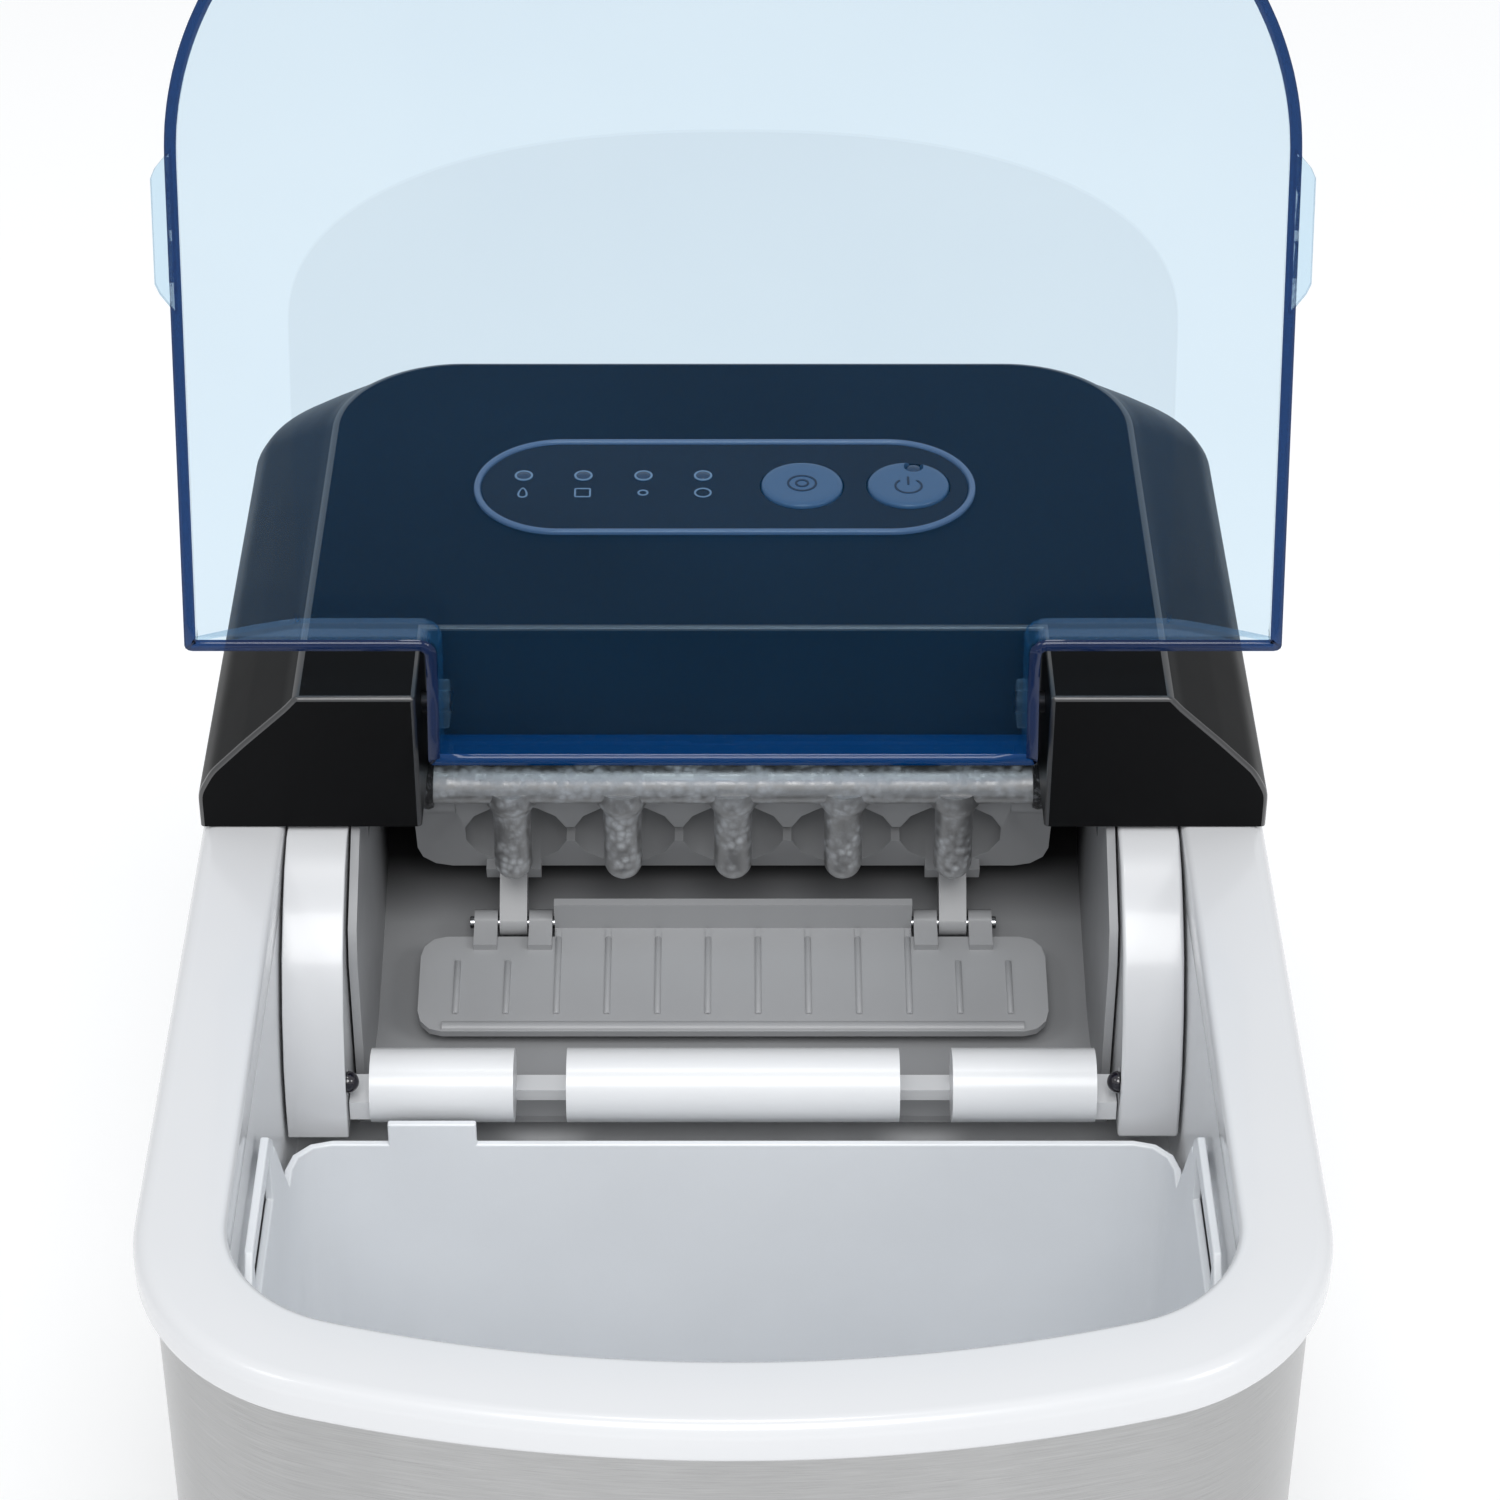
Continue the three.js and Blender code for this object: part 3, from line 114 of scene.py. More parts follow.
def bowed_front(half, front, bow, corner, inset):
    """Front arc about (0, front + bow), then a corner arc tangent to it and to the side line."""
    cx, bow_y = half - corner, front + bow
    cy = bow_y - sqrt((bow - corner) ** 2 - cx**2)
    turn = atan2(cy - bow_y, cx)
    return along(
        resampled(arc(0, bow_y, bow - inset, -pi / 2, turn, 40), 26),
        resampled(arc(cx, cy, corner - inset, turn, 0, 40), 26),
    )


def housing(inset, back=None, radius=None):
    """Closed plan of the housing moved in by inset, ending at back with corners of radius."""
    back = REAR - inset if back is None else back
    radius = max(REAR_CORNER - inset, 1) if radius is None else radius
    x = HALF - inset
    front = bowed_front(HALF, FRONT, BOW, CORNER, inset)
    side = resampled([front[-1], (x, back - radius)], 14)
    corner = arc(x - radius, back - radius, radius, 0, pi / 2, 14)
    rear = resampled([(x - radius, back), (0, back)], 8)
    half = np.vstack([front[:-1], side[:-1], corner, rear[1:-1]])
    return np.vstack([mirrored(half), [(0, back)]])


def open_housing(inset, back):
    """The plan of the front and sides only, from the left rear round to the right rear."""
    front = bowed_front(HALF, FRONT, BOW, CORNER, inset)
    side = resampled([front[-1], (HALF - inset, back)], 14)
    return mirrored(np.vstack([front[:-1], side]))


def stadium(length, breadth):
    """Two half circles of the breadth's radius joined by straight lines, about the panel."""
    r, (cx, cy) = breadth / 2, PANEL
    return np.vstack(
        [
            arc(cx + length / 2 - r, cy, r, -pi / 2, pi / 2, 40),
            arc(cx - length / 2 + r, cy, r, pi / 2, 1.5 * pi, 40),
        ]
    )


def rounded(x0, x1, y0, y1, r, count=8):
    """Rectangle with quarter-circle corners, counterclockwise."""
    return np.vstack(
        [
            arc(x1 - r, y0 + r, r, -pi / 2, 0, count),
            arc(x1 - r, y1 - r, r, 0, pi / 2, count),
            arc(x0 + r, y1 - r, r, pi / 2, pi, count),
            arc(x0 + r, y0 + r, r, pi, 1.5 * pi, count),
        ]
    )


def at_height(outline, z):
    """A plan outline lifted to z, as 3-D points."""
    return np.column_stack([outline, np.full(len(outline), float(z))])


# ---- surfaces


def skin(rings, around=False, caps=(False, False)):
    """Quads between ring k and ring k + 1 and between points j and j + 1, each ring closed.
    around joins the last ring to the first, and caps close the first and last ring."""
    rings = np.asarray(rings, float)
    count, size = rings.shape[:2]
    index = np.arange(count * size).reshape(count, size)
    low = index if around else index[:-1]
    high = np.roll(index, -1, axis=0) if around else index[1:]
    faces = [low, np.roll(low, -1, axis=1), np.roll(high, -1, axis=1), high]
    faces = np.stack(faces, axis=-1).reshape(-1, 4).tolist()
    if caps[0]:
        faces.append(index[0][::-1].tolist())
    if caps[1]:
        faces.append(index[-1].tolist())
    return rings.reshape(-1, 3), faces


def solid(rings):
    """Skin over the rings with both ends closed."""
    return skin(rings, caps=(True, True))


def together(*surfaces):
    """Several surfaces as one."""
    points, faces, start = [], [], 0
    for more_points, more_faces in surfaces:
        points.append(more_points)
        faces += [[i + start for i in face] for face in more_faces]
        start += len(more_points)
    return np.vstack(points), faces


def turned(profile, centre, axis="Z", count=48, hollow=False):
    """Surface of revolution: profile pairs (radius, distance along axis) about a line at centre.
    A hollow one closes its profile on itself instead of having two flat ends."""
    profile = np.asarray(profile, float)
    t = np.linspace(0, TAU, count, endpoint=False)
    r, d = profile[:, :1], np.repeat(profile[:, 1:], count, axis=1)
    u, v = centre[0] + r * np.cos(t), centre[1] + r * np.sin(t)
    layout = (d, u, v) if axis == "X" else (u, v, d)
    return skin(np.stack(layout, axis=-1), around=hollow, caps=(not hollow, not hollow))


def prism(outline, z0, z1):
    """Flat-ended solid of a plan outline between two heights."""
    return solid([at_height(outline, z0), at_height(outline, z1)])


def at_x(outline, x):
    """An outline in (y, z) placed at x, as 3-D points."""
    return np.column_stack([np.full(len(outline), x), outline])


def swept(path, radius, count=20):
    """Tube about a line in a plane of constant y: circles across the line's own direction."""
    path = np.asarray(path, float)
    radius = np.broadcast_to(radius, len(path))[:, None, None]
    tangent = np.gradient(path, axis=0)
    tangent /= np.linalg.norm(tangent, axis=1)[:, None]
    side = np.array([0.0, 1.0, 0.0])
    other = np.cross(tangent, side)
    t = np.linspace(0, TAU, count, endpoint=False)[None, :, None]
    rings = path[:, None] + radius * (np.cos(t) * other[:, None] + np.sin(t) * side)
    return solid(rings)


def washer(outer, inner, z0, z1):
    """Flat band between two outlines with the same number of points."""
    steps = ((outer, z0), (outer, z1), (inner, z1), (inner, z0))
    return skin([at_height(*step) for step in steps], around=True)


def swung(points, centre, angle):
    """Points turned about the x line through centre, from y towards z."""
    y, z = points[:, 1] - centre[0], points[:, 2] - centre[1]
    c, s = cos(angle), sin(angle)
    return np.column_stack([points[:, 0], centre[0] + c * y - s * z, centre[1] + s * y + c * z])


def opened(points):
    """Points of the closed lid swung to its rest, open."""
    return swung(points, HINGE, -LID_OPEN)


# ---- pieces


def mesh_object(name, points, faces, scale=MM):
    """A linked object of a new mesh."""
    mesh = bpy.data.meshes.new(name)
    mesh.from_pydata((np.asarray(points) * scale).tolist(), [], faces)
    mesh.validate()
    thing = bpy.data.objects.new(name, mesh)
    bpy.context.scene.collection.objects.link(thing)
    return thing


def smooth(thing, angle):
    """Smooth shading with sharp edges above an angle in degrees."""
    thing.data.shade_smooth()
    thing.data.set_sharp_from_angle(angle=radians(angle))


def flattened(mesh, angle, weld=0.0):
    """Joins points closer than weld, then faces that lie within an angle of each other."""
    shape = bmesh.new()
    shape.from_mesh(mesh)
    if weld:
        bmesh.ops.remove_doubles(shape, verts=shape.verts, dist=weld)
    bmesh.ops.dissolve_limit(
        shape, angle_limit=radians(angle), verts=shape.verts, edges=shape.edges
    )
    shape.to_mesh(mesh)
    shape.free()


def bevel(thing, width, segments=2, angle=30):
    """Rounded edges where faces meet at more than an angle in degrees."""
    made = thing.modifiers.new("edges", "BEVEL")
    made.width, made.segments = width * MM, segments
    made.limit_method, made.angle_limit = "ANGLE", radians(angle)
    made.harden_normals = True
    return made


def dress(thing, finishes, node=None, body="housing"):
    """Materials, body and replaced node of one piece."""
    thing.data.materials.clear()
    for name in finishes if isinstance(finishes, (list, tuple)) else [finishes]:
        thing.data.materials.append(finish(name))
    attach(thing, body)
    if node:
        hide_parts(node)
    return thing


def piece(name, surface, finishes, node=None, angle=35, body="housing"):
    """A new piece from a surface's points and faces."""
    thing = mesh_object(name, *surface)
    smooth(thing, angle)
    return dress(thing, finishes, node, body)


def refined(node, name, finishes, width=0.4, segments=2, angle=35, body="housing"):
    """A copy of a node as one welded skin with flat faces whole and its edges rounded."""
    thing = bpy.data.objects.new(name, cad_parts[node].data.copy())
    bpy.context.scene.collection.objects.link(thing)
    thing.data.name = name
    flattened(thing.data, 0.6, 2e-6)
    for stale in ("custom_normal", "sharp_face"):
        if stale in thing.data.attributes:
            thing.data.attributes.remove(thing.data.attributes[stale])
    smooth(thing, angle)
    if width:
        bevel(thing, width, segments, angle)
    return dress(thing, finishes, node, body)


def carve(thing, *surfaces):
    """Takes the volume of each closed surface out of a piece."""
    cutters = [mesh_object("cutter", *surface) for surface in surfaces]
    for cutter in cutters:
        tool = thing.modifiers.new("carve", "BOOLEAN")
        tool.operation, tool.solver, tool.object = "DIFFERENCE", "EXACT", cutter
    bpy.context.view_layer.update()
    result = bpy.data.meshes.new_from_object(
        thing.evaluated_get(bpy.context.evaluated_depsgraph_get())
    )
    thing.modifiers.clear()
    thing.data = result
    for cutter in cutters:
        bpy.data.objects.remove(cutter)


# ---- finishes


class Shade:
    """One value in a material, so that shader maths reads as an expression."""

    def __init__(self, material, socket):
        self.material, self.socket = material, socket

    def math(self, operation, *others):
        return self.material.node("Math", *others, settings=[("operation", operation)])

    def __add__(self, other):
        return self.math("ADD", self, other)

    __radd__ = __add__

    def __mul__(self, other):
        return self.math("MULTIPLY", self, other)

    def __sub__(self, other):
        return self.math("SUBTRACT", self, other)

    def __rsub__(self, other):
        return self.math("SUBTRACT", other, self)

    def __pow__(self, other):
        return self.math("POWER", self, other)


class Finish:
    """One procedural material: every node comes from node(), in object coordinates."""

    def __init__(self, name):
        self.data = bpy.data.materials.new(name)
        self.data.use_nodes = True
        self.tree = self.data.node_tree
        self.tree.nodes.clear()
        self.output = self.tree.nodes.new("ShaderNodeOutputMaterial")

    def node(self, kind, *values, out=0, settings=(), **named):
        """Output out of a new node; values fill its inputs by number, named ones by name."""
        made = self.tree.nodes.new("ShaderNode" + kind)
        for key, value in settings:
            setattr(made, key, value)
        pairs = list(enumerate(values)) + [(k.replace("_", " "), v) for k, v in named.items()]
        for key, value in pairs:
            self.fill(made.inputs[key], value)
        return Shade(self, made.outputs[out])

    def fill(self, socket, value):
        if isinstance(value, Shade):
            self.tree.links.new(value.socket, socket)
        else:
            socket.default_value = value

    def place(self):
        return self.node("TexCoord", out="Object")

    def noise(self, scale, detail=3.0, stretch=(1, 1, 1), distortion=0.0, rough=0.5):
        place = self.node("Mapping", self.place(), Scale=stretch)
        return self.node(
            "TexNoise", place, Scale=scale, Detail=detail, Roughness=rough, Distortion=distortion
        )

    def cells(self, scale):
        return self.node("TexVoronoi", self.place(), Scale=scale)

    def ramp(self, value, low, high):
        """0 below low, 1 above high, straight between."""
        return self.node("MapRange", value, From_Min=low, From_Max=high)

    def blend(self, factor, first, second):
        """Mix of two colours, which are the node's inputs 6 and 7."""
        made = self.node("Mix", factor, settings=[("data_type", "RGBA")], out=2)
        for at, value in ((6, first), (7, second)):
            colour = value if isinstance(value, Shade) else (*value, 1.0)[:4]
            self.fill(made.socket.node.inputs[at], colour)
        return made

    def bump(self, height, distance, strength=1.0):
        return self.node("Bump", Height=height, Strength=strength, Distance=distance * MM)

    def shown(self, shader):
        self.tree.links.new(shader.socket, self.output.inputs[0])
        return self

    def principled(self, **inputs):
        return self.node("BsdfPrincipled", **inputs)


def rgba(colour, gain=1.0):
    """A colour, or the add-on's colour of that name, times gain."""
    if isinstance(colour, str):
        colour = getattr(bpy.context.scene.ice_maker_colours, colour)
    return tuple(min(1.0, c * gain) for c in colour[:3]) + (1.0,)


def moulded(
    name, colour, rough, grain=0.012, grain_scale=1500, coat=0.0, stain=0.06, wear=0.0, shine=0.5,
    painted_shade_y=None,
):
    """Moulded plastic: flow marks in the tone, fine spark texture in the skin, uneven gloss.
    wear adds dust, and the last argument paints shade over it, from none at one place on y to full
    at another and beyond, in metres."""
    made = Finish(name)
    cloud = made.noise(14, 4)
    fine = made.noise(grain_scale, 2)
    smear = made.noise(60, 5, distortion=1.2)
    light, dark = rgba(colour, 1 + stain * 0.4), rgba(colour, 1 - stain)
    tone = made.blend(made.ramp(cloud, 0.3, 0.7), dark, light)
    if painted_shade_y:
        # Painted shade: the tone turns near black between the two places on y and stays so beyond.
        y = made.node("SeparateXYZ", made.place(), out=1)
        tone = made.blend(made.ramp(y, *painted_shade_y), tone, (0.012, 0.012, 0.013))
    if wear:
        dust = made.ramp(made.noise(240, 6, rough=0.7), 0.58, 0.75)
        tone = made.blend(dust * wear, tone, (0.55, 0.55, 0.54))
    gloss = rough + (made.ramp(smear, 0.35, 0.7) - 0.5) * (rough * 0.12)
    skin_bump = made.bump(fine + cloud * 1.2, grain)
    return made.shown(
        made.principled(
            Base_Color=tone, Roughness=gloss, Normal=skin_bump, Coat_Weight=coat,
            Coat_Roughness=0.08, Specular_IOR_Level=shine,
        )
    )


def metal(name, colour, rough, scale=900, stretch=(1, 1, 1), grain=0.01, spread=0.12, tarnish=0.1):
    """Metal with a grain drawn out along some axes and cloudy tarnish."""
    made = Finish(name)
    streak = made.noise(scale, 4, stretch, rough=0.65)
    cloud = made.noise(18, 3)
    dark, light = rgba(colour, 1 - 1.4 * spread), rgba(colour, 1 + spread)
    tone = made.blend(made.ramp(streak, 0.25, 0.75), dark, light)
    tone = made.blend(made.ramp(cloud, 0.35, 0.8) * tarnish, tone, rgba(colour, 0.6))
    gloss = rough + (streak - 0.5) * spread + (cloud - 0.5) * (0.5 * spread)
    return made.shown(
        made.principled(
            Metallic=1.0, Normal=made.bump(streak, grain), Base_Color=tone, Roughness=gloss
        )
    )


def brushed_steel():
    """Brushed sheet: hair-fine and broader level scratches, and slow upright darker bands of
    painted reflection.
    """
    made = Finish("steel_brushed")
    hair = made.noise(1.0, 2, (110, 110, 7000), rough=0.6)
    scratch = made.noise(1.0, 3, (40, 40, 2400), rough=0.6)
    painted_reflection_bands = made.noise(1.0, 2, (26, 26, 1.5))
    grain = hair * 0.65 + scratch * 0.35
    tone = made.blend(made.ramp(grain, 0.3, 0.7), rgba("steel", 0.84), rgba("steel", 1.14))
    # Painted reflection: slow upright dark bands stand in for the room mirrored in the sheet.
    tone = made.blend(made.ramp(painted_reflection_bands, 0.35, 0.65) * 0.28, tone, rgba("steel", 0.62))
    return made.shown(
        made.principled(
            Metallic=1.0, Normal=made.bump(grain, 0.012), Base_Color=tone,
            Roughness=0.3 + (grain - 0.5) * 0.2,
        )
    )


def frosted_nickel():
    """Plated tube with a skin of frost: white crystals where a noise is high, metal between."""
    made = Finish("nickel_frosted")
    crystals = made.cells(520)
    patch = made.ramp(made.noise(130, 5, rough=0.7), 0.38, 0.62)
    frost = patch * (1 - made.ramp(crystals, 0.25, 0.85))
    return made.shown(
        made.principled(
            Metallic=0.9 - frost * 0.6, Roughness=0.34 + frost * 0.3,
            Normal=made.bump(frost + made.noise(1200, 3) * 0.3, 0.05),
            Base_Color=made.blend(frost, (0.42, 0.42, 0.42), (0.6, 0.62, 0.64)),
        )
    )


def crinkled_tape():
    """Dark tape: creases from a warped noise, bright on their crests."""
    made = Finish("sleeve_tape")
    crease = made.noise(170, 6, distortion=2.5, rough=0.62)
    crest = made.ramp(crease, 0.5, 0.72)
    return made.shown(
        made.principled(
            Metallic=crest * 0.7, Roughness=0.22 + crease * 0.2, Normal=made.bump(crease, 0.9),
            Base_Color=made.blend(crest, (0.012, 0.012, 0.013), (0.35, 0.36, 0.38)),
        )
    )


def clear_plastic(name, body, tint, base, rise, power=4.0, gain=1.0):
    """Tinted pane: it colours what is behind it by tint times gain, and its share of glossy
    body colour is base, plus rise times the power of how far it is turned away."""
    made = Finish(name)
    facing = made.node("LayerWeight", out="Facing", Blend=0.5)
    share = base + facing**power * rise
    haze = made.ramp(made.noise(22, 4), 0.3, 0.8) * 0.012
    tone = made.blend(made.ramp(made.noise(9, 3), 0.3, 0.7), rgba(body, 0.92), rgba(body, 1.06))
    gloss = made.principled(
        Roughness=0.06 + made.noise(40, 4) * 0.03, Normal=made.bump(made.noise(120, 2), 0.004),
        Base_Color=tone,
    )
    through = made.node("BsdfTransparent", rgba(tint, gain))
    return made.shown(made.node("MixShader", share + haze, through, gloss))


def solder_resist():
    """Solder resist over copper tracks: thin lines on a grid, with pads where cells are small."""
    made = Finish("board_resist")
    tracks = made.node(
        "TexBrick", made.place(), settings=[("offset", 0.5)], Scale=260.0, Mortar_Size=0.03
    )
    lines = made.node("SeparateColor", tracks)
    pads = 1 - made.ramp(made.cells(420), 0.12, 0.2)
    tone = made.blend(made.ramp(lines, 0.2, 0.6), (0.02, 0.16, 0.07), (0.03, 0.24, 0.1))
    return made.shown(
        made.principled(
            Roughness=0.4 - pads * 0.1, Normal=made.bump(pads, 0.08),
            Base_Color=made.blend(pads, tone, (0.6, 0.5, 0.3)),
        )
    )


def pale_floor():
    """Nearly white sheet, with a little light of its own."""
    made = Finish("floor_pale")
    tone = made.blend(made.noise(3, 3), (0.94, 0.94, 0.943), (0.96, 0.96, 0.96))
    return made.shown(
        made.principled(
            Roughness=0.7, Base_Color=tone, Emission_Color=(1, 1, 1, 1), Emission_Strength=0.15
        )
    )


# Values of moulded(), metal() and clear_plastic(), in order. A colour given by name is the
# add-on's own.
PLASTICS = {
    "white": ("plastic_white", "rim", 0.24, 0.004, 1300, 0.3, 0.02),
    "liner": ("plastic_liner", "liner", 0.3, 0.005, 1300, 0.15, 0.03),
    "basket": ("plastic_basket", "basket", 0.34, 0.012, 1100, 0.1, 0.05),
    # The grey chute's last value is painted shade: near black from y 52 to 70 mm and beyond,
    # behind the tray.
    "grey": ("plastic_grey", "chute", 0.42, 0.02, 1200, 0.0, 0.06, 0.0, 0.5, (0.052, 0.07)),
    "grey_light": ("plastic_light_grey", "tray", 0.38, 0.015, 1200, 0.05, 0.05),
    "black_satin": ("plastic_black_satin", "hood", 0.3, 0.006, 1600, 0.0, 0.1, 0.0, 0.015),
    # Hood edge finish: a lighter copy of the hood's black that paints highlight lines on its
    # creases, and glossier as well.
    "black_edge_highlight": (
        "plastic_black_polished", (0.028, 0.028, 0.03), 0.3, 0.002, 1600, 0.25, 0.1, 0.0, 0.8
    ),
    "black_matt": ("plastic_black_matt", (0.022, 0.022, 0.023), 0.55, 0.03, 1400, 0.0, 0.12, 0.04),
    "black_gloss": (
        "plastic_black_gloss", (0.002, 0.003, 0.006), 0.16, 0.0005, 1500, 0.0, 0.1, 0.0, 0.12
    ),
    "rubber": ("rubber_black", (0.018, 0.018, 0.018), 0.72, 0.06, 900, 0.0, 0.2, 0.12),
    "bezel": ("bezel_silver_blue", (0.11, 0.16, 0.27), 0.26, 0.004, 900, 0.1, 0.05),
    "button": ("button_grey_blue", (0.06, 0.115, 0.215), 0.3, 0.006, 1400, 0.1, 0.04),
    "mark": ("mark_ink", (0.2, 0.28, 0.4), 0.45, 0.004, 1800),
    "mark_dark": ("mark_ink_dark", (0.006, 0.01, 0.03), 0.45, 0.004, 1800),
    "lens": ("lens_smoked", (0.02, 0.035, 0.07), 0.2, 0.01, 2200, 0.2, 0.08),
    "sensor": ("sensor_resin", (0.01, 0.008, 0.014), 0.08, 0.002, 900, 0.8),
    "float": ("float_foam", (0.82, 0.81, 0.78), 0.6, 0.09, 700, 0.0, 0.08),
    "hose": ("hose_silicone", (0.62, 0.66, 0.68), 0.35, 0.02, 700, 0.2, 0.08),
    "enamel": ("shell_enamel", (0.012, 0.012, 0.013), 0.3, 0.05, 260, 0.4, 0.15, 0.06),
}
METALS = {
    "pin": ("steel_black_oxide", (0.03, 0.03, 0.034), 0.4, 1400, (1, 1, 1), 0.01, 0.08),
    "screw": ("steel_bright", (0.56, 0.57, 0.58), 0.24, 1400, (1, 1, 1), 0.01, 0.08),
    "aluminium": ("aluminium_mill", (0.6, 0.61, 0.62), 0.4, 1.0, (900, 60, 60), 0.02),
    "zinc": ("zinc_plate", (0.52, 0.53, 0.53), 0.38, 160, (1, 1, 1), 0.02, 0.15),
    "copper": ("copper_tube", (0.72, 0.36, 0.2), 0.3, 220, (1, 1, 1), 0.02, 0.14, 0.35),
}
PANES = {
    "lid": ("lid_clear", "lid_body", "lid_tint", 0.045, 0.8),
    "lid_panel": ("lid_panel", "lid_body", "lid_tint", 0.05, 0.8, 4.0, 0.96),
    "lid_lip": ("lid_lip", (0, 0.05, 0.19), (0.06, 0.3, 0.65), 0.66, 0.3, 2.0),
    "lid_edge": ("lid_edge", (0, 0.014, 0.07), (0.02, 0.11, 0.34), 0.72, 0.25, 2.0),
    "lid_tab": ("lid_tab", (0.3, 0.45, 0.6), (0.84, 0.93, 0.98), 0.08, 0.7, 3.0),
}
OTHERS = {
    "steel": brushed_steel,
    "nickel": frosted_nickel,
    "foil": crinkled_tape,
    "board": solder_resist,
    "floor": pale_floor,
}
made_finishes = {}


def finish(name):
    """The material of one row, made the first time it is asked for."""
    if name not in made_finishes:
        make, values = OTHERS.get(name), ()
        for maker, rows in ((moulded, PLASTICS), (metal, METALS), (clear_plastic, PANES)):
            if name in rows:
                make, values = maker, rows[name]
        made_finishes[name] = make(*values).data
    return made_finishes[name]


def recolour(nodes, name):
    """A carried-over node keeps its shape and takes a new finish."""
    for node in nodes:
        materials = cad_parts[node].data.materials
        materials.clear()
        materials.append(finish(name))


# ---- the add-on


def size_property(name, description, default, low, high):
    return FloatProperty(
        name=name, description=description, default=default, min=low, max=high,
        subtype="DISTANCE", unit="LENGTH",
    )


def shade_property(name, colour):
    return FloatVectorProperty(
        name=name, description=f"Colour of the {name.lower()}", subtype="COLOR", size=3,
        min=0.0, max=1.0, default=colour,
    )


class IceMakerSizes(bpy.types.PropertyGroup):
    """Sizes of the rounded edges and the lid's wall, in metres."""

    rim_edge: size_property(
        "Rim edge", "Radius of the rim's outer upper edge", 0.0036, 0.001, 0.005
    )
    rim_inner_edge: size_property(
        "Rim inner edge", "Radius of the edge round the opening", 0.0018, 0.0005, 0.004
    )
    lid_wall: size_property("Lid wall", "Thickness of the lid's plastic", 0.0026, 0.001, 0.003)
    hood_edge: size_property("Hood edge", "Radius of the hood's edges", 0.002, 0.0002, 0.003)


class IceMakerColours(bpy.types.PropertyGroup):
    """Colours of the main finishes."""

    rim: shade_property("Rim", (0.68, 0.688, 0.705))
    liner: shade_property("Liner", (0.8, 0.81, 0.825))
    basket: shade_property("Basket", (0.84, 0.86, 0.885))
    chute: shade_property("Chute", (0.35, 0.355, 0.365))
    tray: shade_property("Tray", (0.42, 0.425, 0.435))
    hood: shade_property("Hood", (0.008, 0.0082, 0.0087))
    steel: shade_property("Steel", (0.4, 0.4, 0.4))
    lid_body: shade_property("Lid body", (0.02, 0.15, 0.36))
    lid_tint: shade_property("Lid tint", (0.89, 0.955, 0.99))


class ICEMAKER_OT_housing(bpy.types.Operator):
    """Steel wrap, base, rear panel, feet, screws, power inlet and drain plug"""

    bl_idname = "ice_maker.housing"
    bl_label = "Housing"

    def execute(self, context):
        low, high = (np.array(c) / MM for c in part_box("steel_wrap"))
        outer, inner = open_housing(3.4, 150), open_housing(4.2, 150)
        wrap = piece(
            "wrap", prism(np.vstack([outer, inner[::-1]]), low[2], high[2]),
            "steel", "steel_wrap",
        )
        vents = [rounded(88, 136, z, z + 3, 1.45) for z in range(70, 116, 9)]
        hole = turned([(10.8, 110), (10.8, 130)], DRAIN_PLACE, "X", 64)
        carve(wrap, *[solid([at_x(vent, x) for x in (-130, 130)]) for vent in vents], hole)
        smooth(wrap, 35)

        steps = [(3.6, 12), (2.5, 12.4), (2, 13.6), (2, 29.2), (2.3, 29.8), (2.9, 30), (5.7, 30)]
        steps += [(5.7, 37.4), (6.1, 38), (7.3, 38), (7.7, 37.4), (7.7, 27), (5, 27), (5, 15)]
        rings = [at_height(housing(inset), z) for inset, z in steps]
        piece("base", solid(rings), "black_matt", "base_pan")
        refined("rear_panel", "rear_cover", "black_matt", 0.35)
        refined("power_inlet", "inlet_socket", "black_gloss", 0.3)
        for i in (1, 2):
            refined(f"rear_screw_{i}", f"cover_screw_{i}", "screw", 0.4)
        foot = [(8.6, 0.0), (9.5, 0.12), (10.4, 0.6), (10.9, 1.6), (10.95, 3), (10.5, 3.4)]
        foot += [(10.5, 4.2), (10.9, 4.6), (10.5, 9.6), (10.0, 11.4), (9.4, 11.7)]
        foot += [(3.7, 11.7), (3.7, 16.8)]
        for end in ("front_left", "front_right", "rear_left", "rear_right"):
            a, b = (np.array(c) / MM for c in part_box(f"foot_{end}"))
            piece(
                f"rubber_foot_{end}", turned(foot, (a[:2] + b[:2]) / 2), "rubber",
                f"foot_{end}",
            )
        plug = [(6.15, 104), (6.15, 116.4), (9.4, 116.4), (9.9, 116.9), (9.95, 119.4)]
        plug += [(9.5, 120.2), (8.8, 120.5), (7.4, 120.45), (7.1, 119.6), (2.0, 119.3)]
        piece(
            "drain_cap", turned(plug, DRAIN_PLACE, "X"), "rubber",
            "drain_plug", body="drain_body",
        )
        return {"FINISHED"}


class ICEMAKER_OT_rim(bpy.types.Operator):
    """White rim round the ice opening"""

    bl_idname = "ice_maker.rim"
    bl_label = "Rim"

    def execute(self, context):
        sizes = context.scene.ice_maker_sizes
        top, inner = sizes.rim_edge / MM, sizes.rim_inner_edge / MM

        def ring(outer, inset, z):
            if outer:
                return at_height(housing(inset), z)
            opening = housing(RIM_WIDTH - inset, CHAMBER_REAR + inset, RIM_CORNER + inset)
            return at_height(opening, z)

        def corner(outer, radius, z, up):
            """Quarter circle between wall and flat: inset r (1 - cos a), height r sin a."""
            t = np.linspace(0, pi / 2, 7)
            t = t if outer == up else t[::-1]
            sign = 1 if up else -1
            centre = z - sign * radius
            return [(outer, radius * (1 - cos(a)), centre + sign * radius * sin(a)) for a in t]

        loop = corner(True, 2.2, RIM_LOW, False) + corner(True, top, RIM_TOP, True)
        loop += corner(False, inner, RIM_TOP, True) + corner(False, 0.8, RIM_LOW, False)
        rim = piece(
            "rim", skin([ring(*step) for step in loop], around=True), "white",
            "top_frame",
        )
        duct = rounded(-98, 98, CHAMBER_REAR + 13, REAR - 18, 8)
        carve(rim, prism(duct, RIM_LOW - 10, RIM_TOP + 10))
        smooth(rim, 40)
        return {"FINISHED"}


